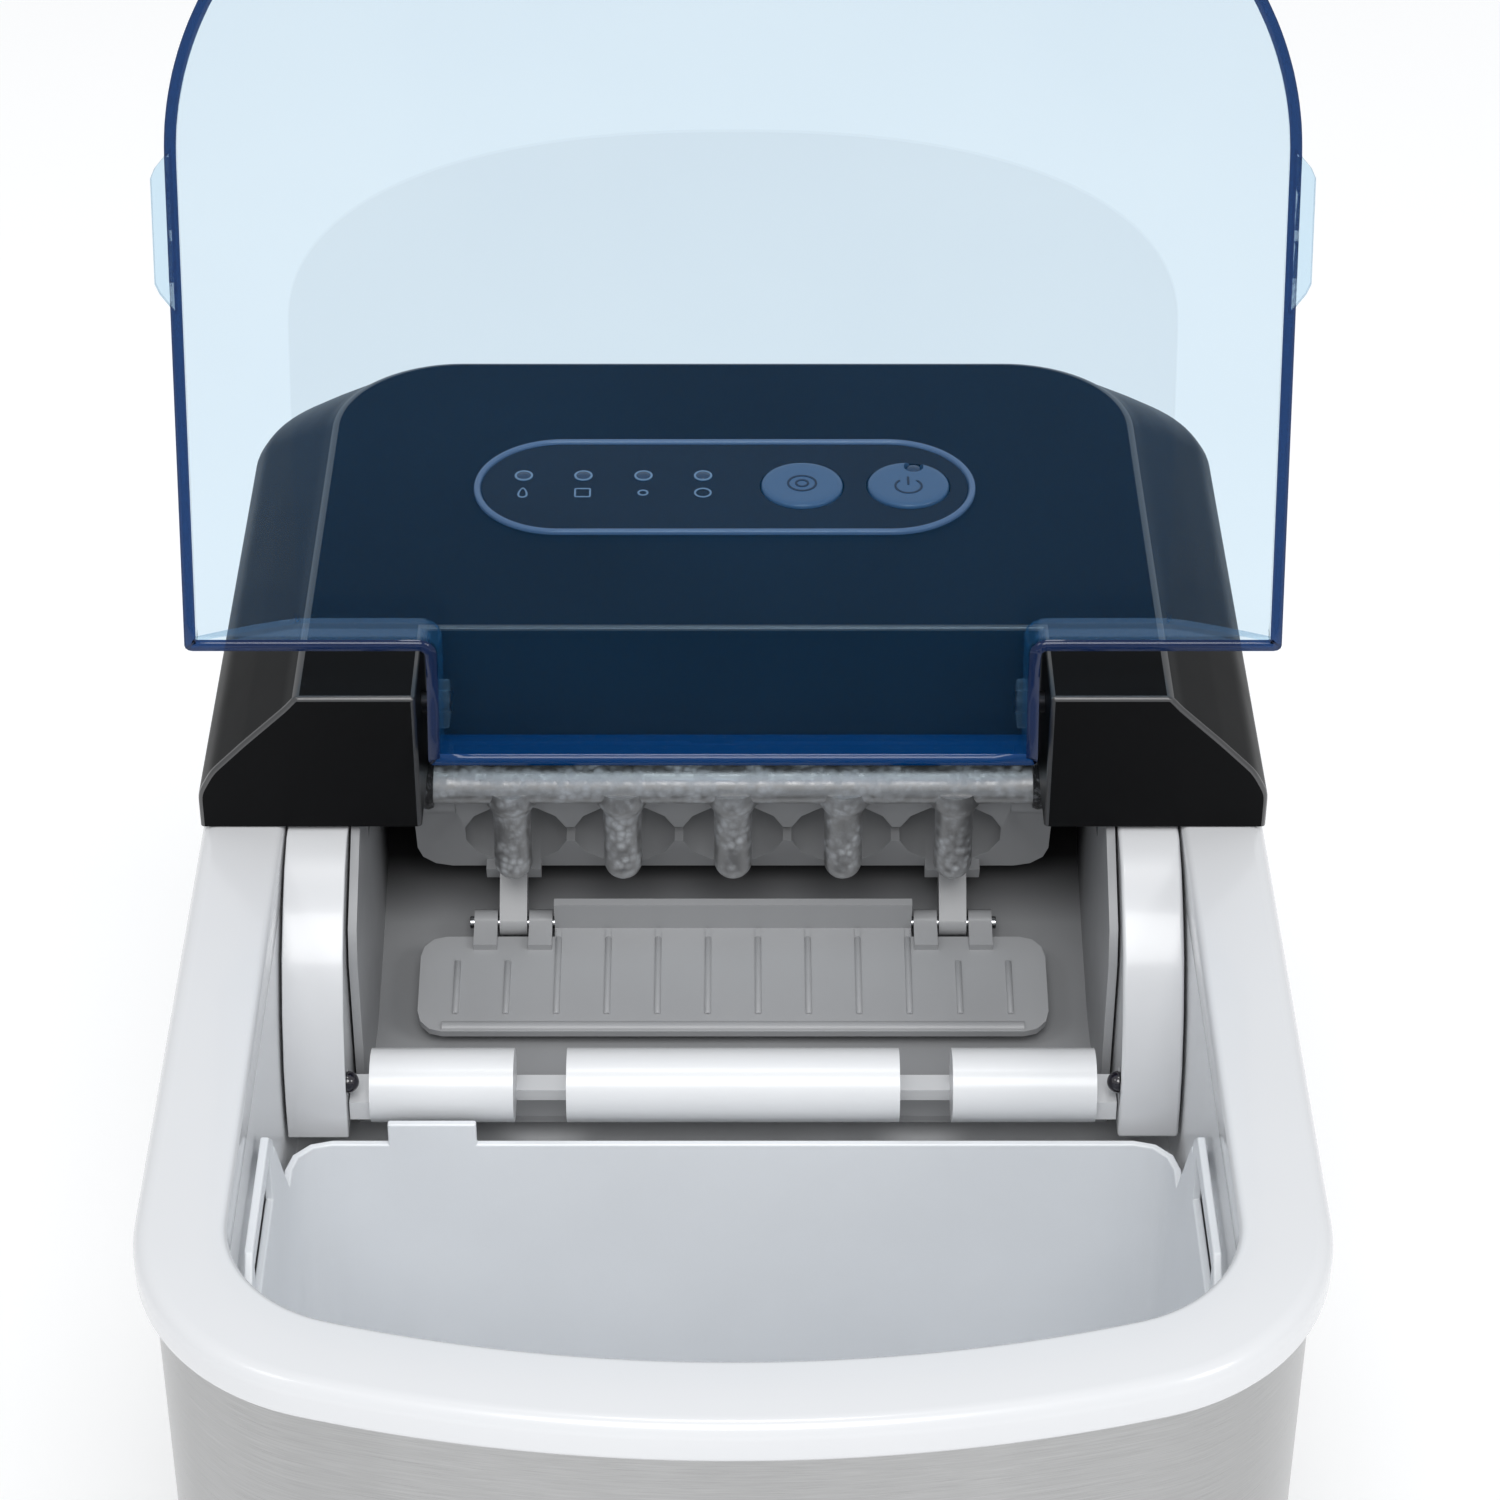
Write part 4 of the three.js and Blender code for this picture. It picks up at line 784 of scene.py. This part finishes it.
class ICEMAKER_OT_tub(bpy.types.Operator):
    """Liner, level float and its stem, and the lift-out basket"""

    bl_idname = "ice_maker.tub"
    bl_label = "Tub and basket"

    def execute(self, context):
        refined("liner", "tub_liner", "liner", 0.4)
        refined("basket", "ice_basket", "basket", 0.55, 3, body="basket_body")
        stem = [(6.6, 48.5), (7, 48.9), (7, 50.2), (6.6, 50.5), (2.3, 50.5), (2.2, 51)]
        stem += [(2.2, 96.2), (3.6, 96.2), (4, 96.6), (4, 98.8), (3.6, 99.2)]
        piece("float_stem", turned(stem, FLOAT_PLACE), "black_matt", "level_stem")
        ring = [(2.7, 50.9), (8.4, 50.9), (9, 51.5), (9, 65.5), (8.4, 66.1), (2.7, 66.1)]
        piece(
            "float_ring", turned(ring, FLOAT_PLACE, hollow=True), "float",
            "level_float", body="float_body",
        )
        return {"FINISHED"}


class ICEMAKER_OT_chamber(bpy.types.Operator):
    """Chute, nose rail, side blocks and the two ice sensors"""

    bl_idname = "ice_maker.chamber"
    bl_label = "Ice chamber"

    def execute(self, context):
        refined("chute", "ice_chute", "grey", 0.35)
        refined("nose_rail", "rail_bars", "liner", 0.4, 2, 40)
        for side, sensor in (("left", "emitter"), ("right", "receiver")):
            refined(f"side_block_{side}", f"guide_{side}", "white", 0.9, 3, 25)
            sign = -1 if side == "left" else 1
            face, radius = 87.4, 2.55
            dome = [(2.4, face + 6.7), (2.4, face)]
            for t in np.linspace(0, radians(84), 9):
                dome.append((radius * cos(t), face - radius * sin(t)))
            dome = [(r, sign * d) for r, d in dome][::-sign]
            piece(
                f"sensor_{sensor}", turned(dome, (-24.6, 244), "X", 32), "sensor",
                f"ir_{sensor}",
            )
        return {"FINISHED"}


def tube_line():
    """The evaporator tube's line: two risers, two quarter bends and the straight run."""
    bend_z = TUBE_Z + TUBE_BEND
    bend = arc(TUBE_BEND - RISER_X, bend_z, TUBE_BEND, pi, 1.5 * pi, 24)
    half = along([(-RISER_X, 299.9), (-RISER_X, bend_z)], bend, [(0, TUBE_Z)])
    line = np.vstack([half[:-1], half[::-1] * (-1, 1)])
    return np.column_stack([line[:, 0], np.full(len(line), TUBE_Y), line[:, 1]])


class ICEMAKER_OT_evaporator(bpy.types.Operator):
    """Frosted cooling tube with its fingers, and the taped foam sleeves on its ends"""

    bl_idname = "ice_maker.evaporator"
    bl_label = "Evaporator"

    def execute(self, context):
        line = tube_line()
        tube = swept(resampled(line, 200), 4.7)
        t = np.linspace(radians(4), pi / 2, 12)
        tip = [(4.5 * sin(a), 259.5 - 4.5 * cos(a)) for a in t]
        collar = [(4.5, 274.6), (5.3, 276.2), (6.2, 277.8), (6.2, 281.9)]
        fingers = [turned(tip + collar, (x, TUBE_Y), count=32) for x in FINGERS]
        piece("cold_fingers", together(tube, *fingers), "nickel", "evaporator", 40)
        for side, sign in (("left", -1), ("right", 1)):
            part = line[(line[:, 0] * sign > 69.5) & (line[:, 2] < 293)]
            run = resampled(part if sign < 0 else part[::-1], 60)
            run = run[run[:, 2] < 289.6]
            s = np.linspace(0, 1, len(run))
            radius = 6.0 + 0.18 * np.sin(23 * s) + 0.12 * np.sin(61 * s + 1)
            piece(
                f"sleeve_{side}", swept(run, radius, 28), "foil",
                f"foam_sleeve_{side}",
            )
        return {"FINISHED"}


def pusher_rib(i):
    """Half-round rib i of 12 along the pusher plate: a radius for each distance from the front,
    laid level and then turned about the pivot to the plate's rest."""
    x = (i - 5.5) * 12
    start, end = 17.0, 40.2 if 1.5 < i < 9.5 else 33.0
    ends = ((start, 0.3), (start + 0.5, 0.78), (end - 0.5, 0.78), (end, 0.3))
    t = np.linspace(0, pi, 9)
    rings = [
        np.column_stack([x + r * np.cos(t), np.full(len(t), y), 235.58 + r * np.sin(t)])
        for y, r in ends
    ]
    points, faces = solid(rings)
    return swung(points, SHOVEL_PIVOT, SHOVEL_REST), faces


class ICEMAKER_OT_tray(bpy.types.Operator):
    """Tilting water tray, its motor, and the hinged pusher plate with its ribs and pins"""

    bl_idname = "ice_maker.tray"
    bl_label = "Tray and pusher"

    def execute(self, context):
        refined("water_tray", "tilt_tray", "grey_light", 0.4, 2, 40, body="tray_body")
        refined("shovel_plate", "pusher", "grey_light", 0.35, 2, 40, body="shovel_body")
        ribs = together(*[pusher_rib(i) for i in range(12)])
        piece("pusher_ribs", ribs, "grey_light", None, 50, body="shovel_body")
        refined("tray_motor", "gear_motor", "zinc", 0.6)
        for side in ("left", "right"):
            pin = f"pusher_pin_{side}"
            refined(f"shovel_pin_{side}", pin, "screw", 0.2, body="shovel_body")
        return {"FINISHED"}


def hood_lines():
    """Right halves of the hood's lower plan and of its raised top, point for point:
    notch, front edge, side, rear corner and rear edge."""

    def line(half, rear, radius):
        return np.vstack(
            [
                resampled([(0.0, NOTCH_REAR), (NOTCH_HALF, NOTCH_REAR)], 8)[:-1],
                resampled([(NOTCH_HALF, NOTCH_REAR), (NOTCH_HALF, HOOD_FRONT)], 5)[:-1],
                resampled([(NOTCH_HALF, HOOD_FRONT), (half, HOOD_FRONT)], 7)[:-1],
                resampled([(half, HOOD_FRONT), (half, rear - radius)], 16)[:-1],
                arc(half - radius, rear - radius, radius, 0, pi / 2, 22),
                resampled([(half - radius, rear), (0.0, rear)], 8)[1:-1],
            ]
        )

    return line(HALF, REAR - 1, 28.0), line(HOOD_TOP_HALF, 156.0, 30.0)


def hood_profile():
    """Section of the hood's shoulder: share of the way in from the plan to the top, and height.
    Its points are spaced on the real width of the slope, then evened with their neighbours."""
    knots = [(0, 290.3), (0, 299.5), (0.136, 305.5), (0.468, 313.5), (0.93, 324), (0.97, 325.6)]
    width = HALF - HOOD_TOP_HALF
    dense = resampled(np.array(knots + [(1, HOOD_TOP)]) * (width, 1.0), 44)
    for _ in range(3):
        dense[1:-1] = (dense[:-2] + 2 * dense[1:-1] + dense[2:]) / 4
    return dense[:, 0] / width, dense[:, 1]


class ICEMAKER_OT_hood(bpy.types.Operator):
    """Black hood over the cooling tube and the controls"""

    bl_idname = "ice_maker.hood"
    bl_label = "Hood"

    def execute(self, context):
        lower, upper = hood_lines()
        across, height = hood_profile()
        rings = [
            at_height(mirrored(lower * (1 - f) + upper * f), z) for f, z in zip(across, height)
        ]
        hood = mesh_object("hood_shell", *skin(rings, caps=(False, True)))
        flattened(hood.data, 0.3)
        finishes = ("black_satin", "black_edge_highlight")
        for name in finishes:
            hood.data.materials.append(finish(name))
        # The bevel's faces take the second finish, a lighter black that paints highlight lines
        # along the hood's edges.
        bevel(hood, context.scene.ice_maker_sizes.hood_edge / MM, 3, 32).material = 1
        wall = hood.modifiers.new("wall", "SOLIDIFY")
        wall.thickness, wall.offset, wall.use_quality_normals = 2.5 * MM, -1, True
        window = stadium(116, 37.5)
        pins = [turned([(2.65, d), (2.65, d + 12)], HINGE, "X", 32) for d in (-79, 67)]
        carve(hood, prism(window, HOOD_TOP - 8, HOOD_TOP + 4), *pins)
        smooth(hood, 24)
        hood.modifiers.new("normals", "WEIGHTED_NORMAL").keep_sharp = True
        shares = [face.material_index for face in hood.data.polygons]
        dress(hood, finishes, "hood")
        for face, share in zip(hood.data.polygons, shares):
            face.material_index = share
        return {"FINISHED"}


def circle(x, y, radius):
    return arc(x, y, radius, 0, TAU * 63 / 64, 64)


def mark(outline, centre, width, z):
    """Thin line drawn round a shape: from its outline, width in towards centre."""
    away = outline - np.array(centre)
    length = np.linalg.norm(away, axis=1)[:, None]
    return washer(outline, centre + away * (length - width) / length, z, z + MARK_LIFT)


def plate_symbols():
    """A ring round each lamp, and under the lamps a drop, a rounded square and two circles.
    The drop narrows upwards: half width 1.6 cos a (1 - (sin a + 1) / 4)^1.2, height 2.2 sin a."""
    z, row = OVERLAY_TOP - 0.02, LED_Y - 7.5
    a = np.linspace(0, TAU * 63 / 64, 64)
    narrow = (1 - 0.5 * (np.sin(a) + 1) / 2) ** 1.2
    drop = np.column_stack([LED_X[0] + 1.6 * np.cos(a) * narrow, row + 2.2 * np.sin(a)])
    x = LED_X[1]
    square = np.vstack([rounded(x - 2, x + 2, row - 2, row + 2, 0.6), (x + 1.4, row - 2)])
    rings = [washer(circle(x, LED_Y, 2.2), circle(x, LED_Y, 1.72), z, z + 0.25) for x in LED_X]
    return together(
        *rings,
        mark(drop, (LED_X[0], row - 0.4), 0.45, z),
        mark(resampled(square, 65)[:-1], (x, row), 0.45, z),
        mark(circle(LED_X[2], row, 1.3), (LED_X[2], row), 0.45, z),
        mark(circle(LED_X[3], row, 2.1), (LED_X[3], row), 0.45, z),
    )


def power_mark(x, y, z):
    """Ring of 280 degrees, open at the top, with an upright stroke in its gap."""
    sweep = np.linspace(radians(130), radians(410), 60)
    outer, inner = (
        np.column_stack([x + r * np.cos(sweep), y - 1.2 + r * np.sin(sweep)]) for r in (3.4, 2.85)
    )
    stroke = rounded(x - 0.28, x + 0.28, y - 0.6, y + 2.9, 0.2)
    shapes = (np.vstack([outer, inner[::-1]]), stroke)
    return together(*[prism(shape, z, z + MARK_LIFT) for shape in shapes])


class ICEMAKER_OT_panel(bpy.types.Operator):
    """Control panel: ring, dark plate, lamps, two buttons, their plain symbols and the board"""

    bl_idname = "ice_maker.panel"
    bl_label = "Control panel"

    def execute(self, context):
        def rings(steps):
            return [
                at_height(stadium(PANEL_LENGTH - 2 * inset, PANEL_BREADTH - 2 * inset), z)
                for inset, z in steps
            ]

        t = np.linspace(0, pi, 9)
        crest = [(0.8 - 0.8 * cos(a), 326.75 + 0.75 * sin(a)) for a in t]
        loop = [(0, 326.35), *crest, (1.7, 326.4), (3.15, 326.1), (3.15, 325.6), (5.3, 324.6)]
        loop += [(5.3, 322.2), (2.35, 322.2), (2.35, 326.35)]
        piece(
            "panel_ring", skin(rings(loop), around=True), "bezel", "panel_bezel", 50
        )
        edge = [(3.5, 324.8), (3.5, 326.45), (1.75, 326.45), (1.75, 326.62), (1.95, OVERLAY_TOP)]
        plate = piece(
            "panel_plate", solid(rings(edge)), "black_gloss", "panel_overlay"
        )
        wells = [turned([(2.2, 320), (2.2, 330)], (x, LED_Y), count=32) for x in LED_X]
        for x in BUTTONS.values():
            wells.append(turned([(10.15, 320), (10.15, 330)], (x, PANEL[1]), count=72))
        carve(plate, *wells)
        smooth(plate, 35)

        lamp = [(1.95, 316.9), (1.95, 326.6), (1.8, 326.95), (1.4, 327.2), (0.8, 327.35)]
        lamp += [(0.15, 327.4)]
        places = {f"{i + 1}": (x, LED_Y) for i, x in enumerate(LED_X)}
        for label, place in {**places, "power": POWER_LED}.items():
            piece(
                f"lamp_{label}", turned(lamp, place, count=28), "lens", f"led_{label}", 60
            )
        cap = [(2.6, 320.62), (2.6, 325.2), (9.5, 325.2), (9.72, 325.5), (9.72, 327.0)]
        cap += [(9.5, 327.4), (9.1, 327.62), (8.4, 327.7), (6.0, 327.64), (3.0, 327.6)]
        cap += [(0.2, 327.59)]
        for name, x in BUTTONS.items():
            button = piece(
                f"key_{name}", turned(cap, (x, PANEL[1]), count=72), "button",
                f"{name}_button", 50, body=f"{name}_body",
            )
            if name == "power":
                carve(button, turned([(2.4, 315), (2.4, 330)], POWER_LED, count=32))
                smooth(button, 50)

        piece("plate_symbols", plate_symbols(), "mark")
        place = (BUTTONS["select"], PANEL[1])
        double = [mark(circle(*place, radius), place, 0.55, KEY_TOP) for radius in (3.6, 1.7)]
        piece("select_symbol", together(*double), "mark_dark", body="select_body")
        symbol = power_mark(BUTTONS["power"], PANEL[1], KEY_TOP)
        piece("power_symbol", symbol, "mark_dark", body="power_body")
        refined("control_board", "circuit_board", "board", 0.15, 1)
        return {"FINISHED"}


def lid_rest(half):
    """Points behind the lid's front at half width: side, step, tongue and rear."""
    corners = [(half, PANE_Y), (half, LID_STEP), (TONGUE_HALF, LID_STEP), (TONGUE_HALF, LID_REAR)]
    corners.append((0.0, LID_REAR))
    runs = [resampled(pair, n) for *pair, n in zip(corners, corners[1:], (12, 10, 5, 8))]
    return [run[:-1] for run in runs[:-1]] + runs[-1:]


def lid_outline():
    """Right half of the lid's plan from the front middle: a bowed front with its corner, and the
    rest."""
    front = bowed_front(HALF, -176.0, 300.0, 70.0, 0.0)
    curve = resampled(along(front, [(HALF, PANE_Y)]), 90)
    return np.vstack([curve[:-1], *lid_rest(HALF)])


def lid_ridge():
    """The crease round the lid's raised pane, point for point with the plan:
    |x / half|^p + |(y - pane y) / depth|^p = 1 in front, straight lines behind."""
    a = np.linspace(pi / 2, 0, 240)
    x = PANE_HALF * np.cos(a) ** (2 / PANE_POWER)
    y = PANE_Y - PANE_DEPTH * np.clip(np.sin(a), 0, 1) ** (2 / PANE_POWER)
    arch = np.column_stack([x, y])
    arch[0, 0] = 0.0
    return np.vstack([resampled(arch, 90)[:-1], *lid_rest(PANE_HALF)])


def finger_tab(sign):
    """Flat tab on one side of the lid, tapered towards both ends, on the open lid."""
    tab = np.array(
        [(119.6, -102.4), (123.2, -98.2), (124.2, -96.0), (124.2, -73.2), (123.2, -71.0),
         (119.6, -66.4)]
    )
    points, faces = prism((tab * (sign, 1))[::sign], LID_BASE, LID_BASE + 2.4)
    return opened(points), faces


def hinge_eye(sign):
    """Eye round one hinge pin on the open lid: a circle above, drawn down to a flat foot."""
    x0, x1 = (64.4, TONGUE_HALF) if sign > 0 else (-TONGUE_HALF, -64.4)
    radius, foot, bore = 5.2, 2.4, 2.85
    a = np.linspace(0, TAU, 48, endpoint=False)
    y = HINGE[0] + radius * np.cos(a)
    z = HINGE[1] + radius * np.sin(a)
    lower = z < HINGE[1]
    y = np.where(lower, HINGE[0] + np.cos(a) * (radius + foot * -np.sin(a)), y)
    z = np.where(lower, HINGE[1] + np.maximum(radius * np.sin(a), -4.5), z)
    outer = np.column_stack([y, z])
    hole = np.column_stack([HINGE[0] + bore * np.cos(a), HINGE[1] + bore * np.sin(a)])
    steps = ((outer, x0), (outer, x1), (hole, x1), (hole, x0))
    points, faces = skin([at_x(*step) for step in steps], around=True)
    return opened(points), faces


class ICEMAKER_OT_lid(bpy.types.Operator):
    """Tinted flip-up lid with its finger tabs, hinge eyes and hinge pins"""

    bl_idname = "ice_maker.lid"
    bl_label = "Lid"

    def execute(self, context):
        outline, ridge = lid_outline(), lid_ridge()
        tongue = outline[:, 1] > LID_STEP + 0.1
        skirt, top = LID_BASE + LID_SKIRT, LID_BASE + LID_RISE
        low = np.where(tongue, skirt, LID_BASE)

        def ring(t, height):
            """Whole ring at t, from the plan (0) to the crease (1)."""
            half = np.column_stack([outline * (1 - t) + ridge * t, height])
            return np.vstack([half[half[:, 0] > 1e-6][::-1] * (-1, 1, 1), half])

        rings = [ring(0.0, low), ring(0.0, np.maximum(low + 0.3, skirt))]
        for t in (0.25, 0.5, 0.75, 1.0):
            swell = 0.9 * sin(pi * t) * (~tongue)
            rings.append(ring(t, skirt + (top - skirt) * t + swell))
        points, faces = skin(rings, caps=(False, True))
        shell = mesh_object("lid_shell", opened(points), faces)
        bevel(shell, 1.3, 3, 9).harden_normals = False
        wall = shell.modifiers.new("wall", "SOLIDIFY")
        wall.thickness, wall.offset = context.scene.ice_maker_sizes.lid_wall, -1
        wall.use_even_offset = True
        wall.use_quality_normals = True
        wall.material_offset_rim = 1
        smooth(shell, 25)
        finishes = ["lid", "lid_edge", "lid_panel", "lid_lip"]
        dress(shell, finishes, "lid", body="lid_body")
        rear = points[:, 1] > LID_REAR - 0.1
        for face in shell.data.polygons:
            if len(face.vertices) > 4:
                face.material_index = finishes.index("lid_panel")
            elif all(rear[i] for i in face.vertices):
                face.material_index = finishes.index("lid_lip")

        fittings = [made(sign) for sign in (-1, 1) for made in (finger_tab, hinge_eye)]
        tabs = piece(
            "lid_fittings", together(*fittings), "lid_tab", None, body="lid_body"
        )
        bevel(tabs, 0.4, 2, 40)
        for side in ("left", "right"):
            refined(f"lid_pin_{side}", f"hinge_pin_{side}", "pin", 0.3)
        return {"FINISHED"}


class ICEMAKER_OT_cooling(bpy.types.Operator):
    """Finishes of the compressor, condenser, fan, pump and lines inside the housing"""

    bl_idname = "ice_maker.cooling"
    bl_label = "Cooling set"

    def execute(self, context):
        recolour([f"compressor_mount_{i}" for i in (1, 2, 3, 4)], "rubber")
        recolour(["suction_line", "filter_drier", "capillary_line", "discharge_line"], "copper")
        refined("compressor", "compressor_shell", "enamel", 0.8, 3, 25)
        refined("condenser", "condenser_pack", "aluminium", 0.12, 1)
        refined("fan_shroud", "fan_cowl", "black_matt", 0.4)
        refined("fan_motor", "fan_drive", "zinc", 0.5)
        refined("fan_blade", "fan_rotor", "black_matt", 0.2, body="fan_body")
        refined("water_pump", "pump", "liner", 0.6)
        refined("water_hose", "hose", "hose", 0)
        return {"FINISHED"}


class ICEMAKER_OT_stage(bpy.types.Operator):
    """Pale floor, soft lights and the camera"""

    bl_idname = "ice_maker.stage"
    bl_label = "Stage"

    def execute(self, context):
        scene = context.scene
        floor = mesh_object(
            "floor", [(-4, -4, 0), (4, -4, 0), (4, 4, 0), (-4, 4, 0)], [[0, 1, 2, 3]], 1.0
        )
        floor.data.materials.append(finish("floor"))
        world = bpy.data.worlds.new("studio")
        world.use_nodes = True
        sky = world.node_tree.nodes["Background"].inputs
        sky["Color"].default_value, sky["Strength"].default_value = (0.97, 0.985, 1.0, 1), 0.66
        scene.world = world
        lamps = [
            ("key", (-1.1, -0.7, 1.8), 2.5, 0.5),
            ("fill", (1.3, -0.9, 1.5), 5.0, 0.6),
            ("top", (0.0, -0.1, 2.1), 3.0, 0.4),
            ("softbox", (0.0, -1.6, 2.2), 26.0, 1.3),
        ]
        for name, place, power, size in lamps:
            lamp = bpy.data.lights.new(name, "AREA")
            lamp.shape, lamp.size, lamp.energy = "DISK", size, power
            thing = bpy.data.objects.new(name, lamp)
            scene.collection.objects.link(thing)
            aim = np.array(LAMP_TARGET) - place
            thing.location = place
            thing.rotation_euler = (acos(-aim[2] / np.linalg.norm(aim)), 0, atan2(-aim[0], aim[1]))
        scene.view_settings.view_transform = "Standard"
        data = bpy.data.cameras.new("camera")
        data.sensor_width, data.lens, data.shift_x = 36, 98.14, 0.0113
        camera = bpy.data.objects.new("camera", data)
        camera.location = (0, -0.73117, 0.85049)
        camera.rotation_euler = (radians(54), 0, 0)
        scene.collection.objects.link(camera)
        scene.camera = camera
        return {"FINISHED"}


STEPS = (
    ICEMAKER_OT_housing,
    ICEMAKER_OT_rim,
    ICEMAKER_OT_tub,
    ICEMAKER_OT_chamber,
    ICEMAKER_OT_evaporator,
    ICEMAKER_OT_tray,
    ICEMAKER_OT_hood,
    ICEMAKER_OT_panel,
    ICEMAKER_OT_lid,
    ICEMAKER_OT_cooling,
    ICEMAKER_OT_stage,
)


class ICEMAKER_PT_panel(bpy.types.Panel):
    """Sizes, colours and one button for each part of the ice maker"""

    bl_idname = "ICEMAKER_PT_panel"
    bl_label = "Ice Maker"
    bl_space_type = "VIEW_3D"
    bl_region_type = "UI"
    bl_category = "Ice Maker"

    def draw(self, context):
        for group in (context.scene.ice_maker_sizes, context.scene.ice_maker_colours):
            box = self.layout.box()
            for key in group.__annotations__:
                box.prop(group, key)
        for step in STEPS:
            self.layout.operator(step.bl_idname)


CLASSES = (IceMakerSizes, IceMakerColours, *STEPS, ICEMAKER_PT_panel)


def register():
    for item in CLASSES:
        bpy.utils.register_class(item)
    bpy.types.Scene.ice_maker_sizes = PointerProperty(type=IceMakerSizes)
    bpy.types.Scene.ice_maker_colours = PointerProperty(type=IceMakerColours)


def unregister():
    del bpy.types.Scene.ice_maker_colours
    del bpy.types.Scene.ice_maker_sizes
    for item in reversed(CLASSES):
        bpy.utils.unregister_class(item)


def main():
    register()
    for step in STEPS:
        group, name = step.bl_idname.split(".")
        getattr(getattr(bpy.ops, group), name)()


if __name__ == "__main__":
    main()
